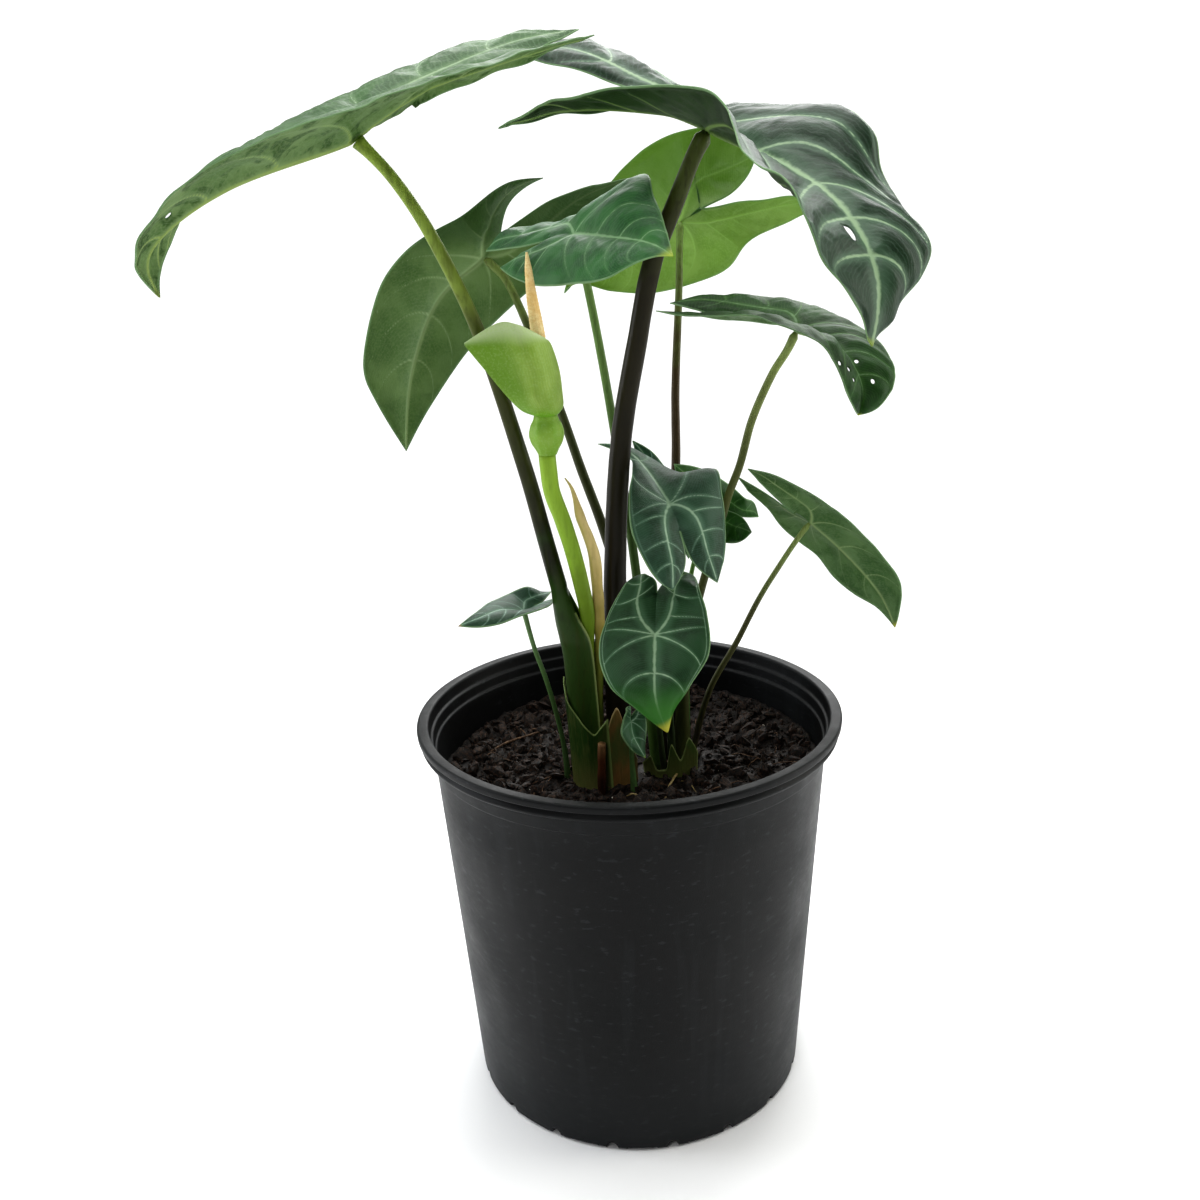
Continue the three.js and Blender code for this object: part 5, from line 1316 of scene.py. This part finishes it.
def perlite_stone():
    """Perlite, a glass popped by heat: white, chalky, pitted, stained by the peat."""
    material, tree = blank_material("perlite_grain")
    stain, pits = noise_at(tree, 2.5), noise_at(tree, 0.5, 3.0)
    layers = [(stain, 0.4, 0.6, ("#8d8170", 0.7)), (pits, 0.3, 0.5, ("#6d6557", 0.5))]
    dead_skin(tree, painted(tree, linear("#cfcabd"), layers), 0.85, pits, 0.3, 1.5)
    return material


for name, count, sizes, flatness, seed, skin in (
    ("bark_chips", 2600, (0.8, 6.4), (0.2, 0.6), 21, peat("composted_bark", "#0e0a07", "#3d2a1e", 1.4)),
    ("peat_crumbs", 5200, (0.4, 1.6), (0.5, 1.0), 22, peat("peat_crumb", "#0e0a08", "#33251b", 0.9)),
    ("perlite_grains", 60, (0.4, 1.4), (0.7, 1.0), 23, perlite_stone()),
):
    make_piece(name, *scattered(count, sizes, flatness, seed), [skin], slot="potting_soil", smooth=False)

# %% [markdown]
# Root fibres and old stalk fibres lie over the soil, thin and curved, in the same brown or paler. A hair
# system would grow them upright, so each is a thin tube that follows the height of the soil. A few are
# laid where the photograph shows them, and the rest fall anywhere.

# %% Fibres
def fibre_points(start, way, length, bend, radius, count=16):
    """The middle line of a fibre and its radii: a circular arc in plan, its height a little over
    soil_top, with both ends dipping into it."""
    s = np.linspace(0, 1, count)
    heading = np.radians(way) + bend * (s - 0.5)
    step = length / (count - 1)
    x, y = (first + np.cumsum(wave(heading)) * step for first, wave in zip(start, (np.cos, np.sin)))
    z = soil_top(x, y) + 1.4 + 1.2 * np.sin(np.pi * s) - 2.8 * (2 * s - 1) ** 8
    z = np.convolve(np.pad(z, 2, mode="edge"), np.ones(5) / 5, "valid")
    return np.stack([x, y, z], 1), radius * (1 - 0.5 * s)


def tube(centre, radii, sides=6):
    """Circles square to a line of close points, closed at both ends: each has its own radius."""
    direction = np.gradient(centre, axis=0)
    direction /= np.linalg.norm(direction, axis=1, keepdims=True)
    y = np.cross(direction, [0.2, 0.3, 1.0])
    y /= np.linalg.norm(y, axis=1, keepdims=True)
    rings = centre[:, None] + spokes(np.cross(y, direction), y, sides) * radii[:, None, None]
    return closed_surface(rings, centre[[0, -1]])[:2]


def joined(parts):
    """Several meshes as one: the faces of each are numbered on from the points before them."""
    starts = np.cumsum([0] + [len(points) for points, _ in parts[:-1]])
    return np.vstack([p for p, _ in parts]), np.vstack([f + start for (_, f), start in zip(parts, starts)])


draw = np.random.default_rng(31)
strands = [((-82, 22), 30, 46, -0.4, 0.8), ((-72, -18), -40, 34, 0.7, 0.6), ((36, -32), 20, 26, 0.8, 0.5)]
for _ in range(44):
    r, a = 88 * np.sqrt(draw.uniform(0.05, 1)), draw.uniform(0, 2 * np.pi)
    strands.append(((r * np.cos(a), r * np.sin(a)), draw.uniform(0, 360), draw.uniform(7, 24),
                    draw.uniform(-1.6, 1.6), draw.uniform(0.18, 0.4)))
PALE_ROOTS = [((31, 1), -107, 46, 0.3, 0.9), ((27, -15), -62, 15, 0.5, 0.55), ((-3, -33), -15, 14, 0.3, 0.5)]
INSIDE_WALL = 99
for name, group, skin in (
    ("root_fibres", strands, peat("root_fibre", "#4a3626", "#7a6048", 2.0)),
    ("live_roots", PALE_ROOTS, peat("live_root", "#8d7a50", "#b5a274", 2.5)),
):
    fibres = [fibre_points(*strand) for strand in group]
    tubes = [tube(*fibre) for fibre in fibres if np.hypot(*fibre[0].T[:2]).max() < INSIDE_WALL]
    make_piece(name, *joined(tubes), [skin], slot="potting_soil")

# %% [markdown]
# ## Crowns, sheaths and the old stub
# The petioles rise from two crowns, short thick stems that sit in the soil. Old leaf bases wrap round
# them: green where they live, tan and papery where they have dried, with a thin pale edge. Cloth could be
# wrapped round the crowns, but sheets that follow the crown's own ellipse fit it without a search.

# %% Crowns
CROWN_PROFILE = [[0, 140], [0.7, 140], [0.95, 149], [1, 160], [1, 174], [0.93, 176], [0.6, 177.2], [0, 177.6]]


def make_crown(name, clump, skin, columns=96):
    """An upright body with an elliptical section and a domed top: the profile, in shares of the half
    axes, goes round the ellipse, and rings of old leaf scars swell it every 4 mm."""
    profile = filled(CROWN_PROFILE, 2.0)
    angle = angles(columns)
    share, height = profile[:, :1], profile[:, 1:] + 0 * angle
    scar = 1 + 0.02 * np.sin(height * 2 * np.pi / 4 + 0.6 * np.sin(3 * angle)) * (share > 0.5)
    rings = np.stack([clump["x"] + clump["half_width"] * share * scar * np.cos(angle),
                      clump["y"] + clump["half_depth"] * share * scar * np.sin(angle), height], -1)
    make_piece(name + "_body", *closed_surface(rings)[:2], [skin], slot="crown", nodes=[name])


def corky(name, dark, light):
    """Cork over a short stem: matt brown, flaky, with darker scars."""
    material, tree = blank_material(name)
    flakes, grain = noise_at(tree, 3, 5.0, (1, 1, 2.5)), noise_at(tree, 0.8, 3.0)
    colour = painted(tree, linear(dark), [(flakes, 0.38, 0.6, light), (grain, 0.3, 0.5, (dark, 0.5))])
    dead_skin(tree, colour, 0.8, flakes, 0.5, 1.45)
    return material


crown_cork = corky("crown_cork", "#3a2c1b", "#6a5233")
make_crown("crown_left", LEFT_CLUMP, crown_cork)
make_crown("crown_right", RIGHT_CLUMP, crown_cork)

# %% Leaf sheaths
# The left clump leans above a height by these shares of the rise. A sheath is a gap outside its crown.
LEAN = dict(start=177, x=-0.043, y=-0.047)
SHEATH_GAP, SHEATH_ROWS = 0.95, 26
SHEATHS = {
    "sheath_left": dict(
        clump=LEFT_CLUMP, top=[[165, 236], [195, 229], [228, 218], [258, 208], [283, 218]]),
    "old_sheath_left": dict(
        clump=LEFT_CLUMP, tuck=0.45,
        top=[[277, 207], [290, 219], [303, 224], [316, 210], [330, 199], [352, 188]]),
    "sheath_right": dict(
        clump=RIGHT_CLUMP, top=[[200, 181], [225, 188], [240, 180], [262, 181], [268, 198], [287, 185],
                                [307, 199], [335, 186]]),
}


def sheath_sheet(clump, top, tuck=0.0):
    """A sheet round part of a crown: the angle goes round its ellipse, a gap outside it less the tuck,
    and each column rises from the crown's foot to the top edge at that angle, leaning as the clump does.
    Soft folds run up it. Also the distance to the free edge."""
    turn = np.linspace(top[0][0], top[-1][0], int((top[-1][0] - top[0][0]) / 1.2) + 1)
    knots, heights = np.array(top, float).T
    edge = np.pad(np.interp(turn, knots, heights), 3, mode="edge")
    soft = np.convolve(edge, np.ones(7) / 7, "valid")[:, None]
    share = np.linspace(0, 1, SHEATH_ROWS)[None]
    height = CROWN_FOOT + (soft - CROWN_FOOT) * share
    angle = np.radians(turn)[:, None]
    fold = SHEATH_GAP - tuck + 0.3 * np.sin(turn * 0.16)[:, None] * share + 0.5 * share**3
    lean = np.maximum(height - LEAN["start"], 0) * (clump is LEFT_CLUMP)
    points = np.stack([clump["x"] + LEAN["x"] * lean + (clump["half_width"] + fold) * np.cos(angle),
                       clump["y"] + LEAN["y"] * lean + (clump["half_depth"] + fold) * np.sin(angle),
                       height], -1)
    ends = np.minimum(turn - turn[0], turn[-1] - turn)[:, None] * 0.22
    edge = np.minimum(soft - height, ends + 0 * height).ravel()
    return points.reshape(-1, 3), turned_over(grid_faces(len(turn), SHEATH_ROWS)), edge


def sheath_skin(name, low, high, dry, edge_colour):
    """A leaf base: thin, satin, with fine ribs up it, a paler free edge, and brown patches where dry."""
    material, tree = blank_material(name)
    edge = add(tree, "ShaderNodeAttribute", attribute_name="edge").outputs["Fac"]
    ribs, patches = noise_at(tree, 1.1, 2.0, (1, 1, 0.06)), noise_at(tree, 11, 3.0, (1, 1, 0.5))
    colour = painted(tree, linear(high), [
        (height_at(tree), 0.176, 0.2, (low, 0.85)),
        (patches, 0.34, 0.5, (dry, 0.7)),
        (ribs, 0.35, 0.55, (low, 0.2)),
        (edge, 0.35, 1.3, (edge_colour, 0.85)),
    ])
    relief = painted(tree, grey(0.5), [(ribs, 0.3, 0.7, (WHITE, 1.0))])
    living_skin(tree, colour, linear(high), 0.14, 0.45, relief, 0.25)
    return material


SHEATH_SKINS = {
    "sheath_left": ("sheath", sheath_skin("sheath_green", "#6a6a3c", "#2c4a18", "#4f5c2c", "#8fa262")),
    "old_sheath_left": ("dry_husk", sheath_skin("sheath_drying", "#7a5c34", "#566234", "#84623a", "#bda777")),
    "sheath_right": ("sheath", sheath_skin("sheath_olive", "#6f7340", "#48682c", "#646a38", "#a3b274")),
}
for key, sheath in SHEATHS.items():
    points, faces, edge = sheath_sheet(**sheath)
    thin = (0.25 + 0.3 * smooth_step(edge, 0, 6))[:, None]
    shell, shell_faces, _ = thickened(points, faces, thin, thin)
    slot, skin = SHEATH_SKINS[key]
    make_piece(key + "_wrap", shell, outward(shell, shell_faces), [skin], {"edge": np.tile(edge, 2)},
               slot=slot, nodes=[key])

# %% [markdown]
# One leaf was cut off long ago, and its stub has dried to a rough brown peg. It is the foot of a petiole,
# so the same stalk surface makes it, shorter and more uneven. The flower's stalk and the dry scale leaf
# are stalks too.

# %% The cut stub
def make_stalk(name, node, slot, colours, route, radii, **shape):
    """A stalk that carries no leaf, in the skin of a petiole with its own colours."""
    points, faces, height = stalk(route, radii, **shape)
    make_piece(name, points, faces, [petiole_skin(*colours)], {"height": height}, slot=slot, nodes=[node])


make_stalk("cut_stub_stalk", "cut_stub", "dry_husk", ("stub_dry", "#2e1a10", "#54311d", "#8d6d4a", 0.5, 0.93),
           route=[[-14.4, -29.2, 205], [-15.2, -27.6, 178], [-15.2, -27.6, 172]],
           radii=[[205, 2.2], [172, 2.3]], sides=24, step=1.5, ripple=0.12)

# %% [markdown]
# ## The inflorescence
# An aroid's flower is a spadix, a spike of hundreds of tiny flowers, held in a spathe. The spathe's
# lower part is closed into a green bulb; above the neck it opens into a cowl, whose cut-off top is painted
# pale as a painted highlight of the light from above, and whose left flank is painted darker as painted
# shade in its crease. The stalk under it is yellow-green, and a dry scale leaf stands beside it. The bulb
# is round enough to be turned. The cowl isn't, and it gets a net of points that the surface passes through.

# %% Stalk and scale leaf
make_stalk("flower_stalk_skin", "peduncle", "flower_stalk",
           ("flower_stalk_skin", "#4c6322", "#75902c", "#94b83c", 0.3, 0.7, 0.08),
           route=[[-34.3, -40, 360.6], [-34, -40, 354], [-33, -38, 342], [-29, -35, 328], [-25, -31, 311.5],
                  [-21.1, -26, 289.5], [-19.3, -22, 275], [-19.8, -18.7, 262], [-21, -15.8, 240],
                  [-22.5, -13.5, 220], [-23, -11.5, 177]],
           radii=[[360.6, 4.1], [177, 3.7]], sides=28, step=2.5)
make_stalk("scale_leaf", "cataphyll", "dry_husk",
           ("scale_leaf_dry", "#69782e", "#b5a258", "#e2cc90", 0.5, 0.72, 0.1),
           route=[[-27, -27, 346], [-23.8, -27, 340.5], [-20.2, -26, 325.5], [-16.2, -25, 313.5],
                  [-14, -23.6, 303], [-13.4, -20.5, 281], [-13.6, -17, 258], [-15.3, -14, 220],
                  [-16, -12.5, 177]],
           radii=[[346, 0.4], [326, 2.3], [300, 3.0], [240, 2.4], [177, 2.0]], step=2.0, ripple=0.12)

# %% The spathe
# The bulb's axis and its [height, radius]; the net of the cowl, row by row from the neck up.
SPATHE_X, SPATHE_Y = -34, -40
SPATHE_TUBE = [[360.6, 4.3], [363, 5.4], [366.5, 7.4], [370.4, 8.4], [374.5, 7.5], [377.5, 5.9],
               [380.5, 5.4], [382.5, 5.6]]
COWL = [
    [[-28.6, -37.5, 379.5], [-29.6, -42.5, 379.5], [-33, -45.2, 379.5], [-37, -43.5, 379.5],
     [-39, -39, 379.5]],
    [[-26, -38, 383], [-29, -46, 382], [-34, -49, 383], [-39, -48, 382.5], [-45, -44, 383]],
    [[-26, -38, 389], [-30, -48, 390], [-37, -52, 390], [-43, -50, 391], [-52, -50, 392]],
    [[-27, -38, 400], [-32, -50, 401], [-38, -54, 401], [-46, -51, 401], [-59, -53, 402]],
    [[-30, -38, 411], [-34, -50, 412], [-41, -55, 411], [-50, -52, 412], [-67, -54, 413]],
    [[-32.5, -43, 415], [-37, -46, 418], [-44, -49, 422], [-53, -48, 423], [-68, -52, 415]],
]
COWL_HALF_THICKNESS = 0.4


def spathe_tube(columns=56):
    """A turned bulb: the radius is a smooth curve through the given heights, closed at both ends, with
    faint lengthwise ribs."""
    height, radius = np.array(SPATHE_TUBE, float).T
    z = np.linspace(height[0], height[-1], 60)[:, None]
    r = curve_through(height, radius[:, None], z[:, 0])
    angle = angles(columns)
    r = r * (1 + 0.018 * np.sin(8 * angle + 1.5 * np.sin(z / 4)))
    rings = np.stack([SPATHE_X + r * np.cos(angle), SPATHE_Y + r * np.sin(angle), z + 0 * r], -1)
    return closed_surface(rings, [np.array([SPATHE_X, SPATHE_Y, end]) for end in height[[0, -1]]])[:2]


def cowl_sheet(fine=12):
    """The cowl: smooth curves through the net of points, first along it and then across, so that it
    passes through every point of the net. Also the row and the column of each point."""
    net = np.array(COWL, float)
    rows, columns = np.linspace(0, 5, 5 * fine + 1), np.linspace(0, 4, 4 * fine + 1)
    down = curve_through(np.arange(6), net.reshape(6, -1), rows).reshape(len(rows), 5, 3)
    grid = curve_through(np.arange(5), down.transpose(1, 0, 2).reshape(5, -1), columns)
    grid = grid.reshape(len(columns), len(rows), 3).transpose(1, 0, 2)
    row, column = np.repeat(rows, len(columns)), np.tile(columns, len(rows))
    return grid.reshape(-1, 3), grid_faces(len(rows), len(columns)), row, column


def spathe_skin():
    """Soft waxy tissue: bulb and cowl pale yellow-green, fine lengthwise veins, painted shade on the
    cowl's left flank, and a pale upper edge that is a painted highlight.
    """
    material, tree = blank_material("spathe_skin")
    row, column = (add(tree, "ShaderNodeAttribute", attribute_name=key).outputs["Fac"]
                   for key in ("row", "column"))
    patches, grain = noise_at(tree, 9), noise_at(tree, 0.9, 3.0)
    stripes = add(tree, "ShaderNodeMath", {0: patches, 1: 0.3, 2: column},
                  operation="MULTIPLY_ADD").outputs[0]
    stripes = add(tree, "ShaderNodeMath", {0: stripes, 1: 34.0}, operation="MULTIPLY").outputs[0]
    stripes = add(tree, "ShaderNodeMath", {0: stripes}, operation="SINE").outputs[0]
    rest, left = (add(tree, "ShaderNodeMath", {0: last, 1: value}, operation="SUBTRACT").outputs[0]
                  for last, value in ((5.0, row), (4.0, column)))
    colour = painted(tree, linear("#8fab48"), [
        (patches, 0.36, 0.64, ("#a6bf60", 0.8)),
        # painted shade: the cowl's left flank is darker, as the shade in its crease
        (left, 0.5, 1.9, ("#6f9a2e", 0.75)),
        (stripes, -1.0, 0.2, ("#7fa83f", 0.4)),
        (row, 0.2, 1.6, ("#74b024", 0.85)),
        # painted highlight: the top rows are pale, as the light from above on the cowl's top
        (rest, 0.15, 0.95, ("#d3e0b4", 0.85)),
        (grain, 0.36, 0.5, ("#b4cf80", 0.3)),
    ])
    relief = painted(tree, grey(0.5), [(stripes, -1.0, 0.6, (WHITE, 0.6))])
    living_skin(tree, colour, linear("#a8d040"), 0.26, 0.45, relief, 0.15)
    return material


bulb, bulb_faces = spathe_tube()
points, faces, row, column = cowl_sheet()
shell, shell_faces, _ = thickened(points, faces, COWL_HALF_THICKNESS, COWL_HALF_THICKNESS)
points, faces = joined([(shell, outward(shell, shell_faces)), (bulb, bulb_faces)])
bulb_column = 0.6 + 0.5 * np.sin(np.arctan2(bulb[:, 1] - SPATHE_Y, bulb[:, 0] - SPATHE_X))
values = {"row": np.r_[np.tile(row, 2), np.ones(len(bulb))], "column": np.r_[np.tile(column, 2), bulb_column]}
make_piece("spathe_skin", points, faces, [spathe_skin()], values, slot="spathe", nodes=["spathe"])

# %% [markdown]
# The spadix carries hundreds of flowers, each less than a millimetre wide. They could be beads of their
# own, but at this size two waves that cross on a tapered spike give the same pattern of bumps.

# %% The spadix
SPADIX = dict(route=[[-39, -36, 453], [-38, -36.5, 436], [-36, -37.5, 418], [-35, -38.5, 405],
                     [-33.8, -39.5, 383.2]],
              radii=[[453, 0.5], [446, 1.6], [432, 2.5], [415, 3.3], [383, 3.2]])


def make_spadix(sides=42, step=0.55):
    """A tapered spike with tiny flowers in two sets of spirals: where both waves are high, the radius
    grows by up to 0.22 mm."""
    centre, x, y, share = stations(SPADIX["route"], step)
    angle = angles(sides)[None]
    run = (share * len(share) * step)[:, None]
    bumps = np.cos(7 * angle + run * 1.9) * np.cos(7 * angle - run * 1.9)
    radius = value_at(SPADIX["radii"], centre[:, 2])[:, None] * (1 + 0.07 * bumps)
    return closed_surface(centre[:, None] + radius[..., None] * spokes(x, y, sides), centre[[0, -1]])[:2]


def spadix_flowers():
    """Packed tiny flowers, dry and pollen-dusted: golden tan, matt, paler on their tops."""
    material, tree = blank_material("spadix_flowers")
    patches, grain = noise_at(tree, 6), noise_at(tree, 0.7, 2.0)
    colour = painted(tree, linear("#f8e2a8"), [
        (patches, 0.36, 0.62, ("#e6c078", 0.8)),
        (grain, 0.36, 0.52, ("#d8ac66", 0.4)),
        (height_at(tree), 0.385, 0.43, ("#f7e8b8", 0.7)),
    ])
    relief = painted(tree, grey(0.5), [(grain, 0.3, 0.7, (WHITE, 1.0))])
    living_skin(tree, colour, linear("#e8c070"), 0.08, 0.7, relief, 0.15)
    return material


make_piece("spadix_spike", *make_spadix(), [spadix_flowers()], slot="spadix", nodes=["spadix"])

# %% [markdown]
# ## Stage and light
# The plant stands on a wide pale floor in a pale room. A picture of a real room could light it, but large
# soft lamps are simpler to place: they give the leaves their broad gloss, and a lamp behind the plant
# lets the thin leaves glow. The lamps aren't seen themselves.

# %% The floor
def studio_white():
    """Matt painted board: off-white, with a very fine unevenness. Away from the plant it is lit from
    behind like a light box, so that floor and room run into each other without an edge."""
    material, tree = blank_material("studio_board_white")
    cloud = noise_at(tree, 400, 3.0)
    colour = painted(tree, linear("#fdfdfd"), [(cloud, 0.3, 0.7, "#f8f9fa")])
    shader = add(tree, "ShaderNodeBsdfPrincipled", {"Base Color": colour, "Roughness": 0.9}).outputs[0]
    place = add(tree, "ShaderNodeTexCoord").outputs["Object"]
    far = add(tree, "ShaderNodeVectorMath", {0: place}, operation="LENGTH").outputs["Value"]
    share = add(tree, "ShaderNodeMapRange", {0: far, 1: 0.25, 2: 0.9, 3: 0.0, 4: 1.0},
                interpolation_type="SMOOTHSTEP").outputs[0]
    glow = add(tree, "ShaderNodeEmission", {"Color": WHITE, "Strength": 1.0}).outputs[0]
    both = add(tree, "ShaderNodeMixShader", {0: share, 1: shader, 2: glow}).outputs[0]
    add(tree, "ShaderNodeOutputMaterial", {"Surface": both})
    return material


def make_floor(radius=9000, columns=96):
    """A flat disc that faces up: rings that double in radius from 250 mm, 0.2 mm under the pot's foot."""
    rings = np.r_[0, 250 * 2.0 ** np.arange(5), radius][:, None]
    angle = angles(columns)
    points = np.stack([rings * np.cos(angle), rings * np.sin(angle), -0.2 + 0 * rings * angle], -1)
    points, faces, _ = welded(points.reshape(-1, 3), grid_faces(len(rings), columns, wrap=True))
    if normals_of(points, faces)[0, 2] < 0:
        faces = turned_over(faces)
    mesh = bpy.data.meshes.new("floor")
    mesh.from_pydata((points * MM).tolist(), [], [list(dict.fromkeys(face)) for face in faces.tolist()])
    mesh.materials.append(studio_white())
    floor = bpy.data.objects.new("floor", mesh)
    bpy.context.scene.collection.objects.link(floor)
    print("floor:", len(points), "points")


make_floor()

# %% The room and the lamps
def make_world(seen, light, strength):
    """A pale room: white where the camera sees it. What lights the plant is dimmer, and dimmer still on
    the side that the camera stands on, so that the front of the pot has nothing bright to reflect."""
    world = bpy.data.worlds.new("pale_room")
    world.use_nodes = True
    tree = world.node_tree
    tree.nodes.clear()
    ray = add(tree, "ShaderNodeLightPath").outputs["Is Camera Ray"]
    way = add(tree, "ShaderNodeTexCoord").outputs["Generated"]
    ahead = add(tree, "ShaderNodeSeparateXYZ", {0: way}).outputs["Y"]
    level = add(tree, "ShaderNodeMapRange", {0: ahead, 1: -0.6, 2: 0.25, 3: 0.03 * strength, 4: strength},
                interpolation_type="SMOOTHSTEP").outputs[0]
    shine = add(tree, "ShaderNodeBackground", {"Color": linear(light), "Strength": level}).outputs[0]
    view = add(tree, "ShaderNodeBackground", {"Color": linear(seen), "Strength": 1.0}).outputs[0]
    both = add(tree, "ShaderNodeMixShader", {0: ray, 1: shine, 2: view}).outputs[0]
    add(tree, "ShaderNodeOutputWorld", {"Surface": both})
    bpy.context.scene.world = world


def make_lamp(name, place, target, size, watts, colour="#ffffff"):
    """A rectangular soft lamp that faces a target; sizes and places in millimetres."""
    data = bpy.data.lights.new(name, "AREA")
    data.shape = "RECTANGLE"
    data.size, data.size_y = size[0] * MM, size[1] * MM
    data.energy = watts
    data.color = linear(colour)[:3]
    lamp = bpy.data.objects.new(name, data)
    way = np.array(target, float) - np.array(place, float)
    back = -way / np.linalg.norm(way)
    nearly_up = [0.0, 0.01, 1.0]
    right = np.cross(nearly_up, back)
    right /= np.linalg.norm(right)
    lamp.matrix_world = placed([right, np.cross(back, right), back], np.array(place) * MM)
    lamp.visible_camera = False
    bpy.context.scene.collection.objects.link(lamp)


bpy.context.scene.view_settings.view_transform = "Standard"
bpy.context.scene.view_settings.look = "Medium High Contrast"
make_world("#ffffff", "#f4f6f4", 0.8)
make_lamp("lamp_above", (-150, 100, 2000), (0, 0, 250), (1500, 1500), 26)
make_lamp("lamp_left", (-1700, 100, 700), (0, 0, 200), (700, 1500), 12, "#f4f8ff")
make_lamp("lamp_right", (1700, 100, 700), (0, 0, 200), (700, 1500), 13, "#fffdf6")
make_lamp("lamp_behind", (300, 1500, 1300), (0, 0, 350), (1500, 900), 22)
make_lamp("lamp_front", (-500, -1500, 1500), (0, 0, 350), (700, 700), 7)
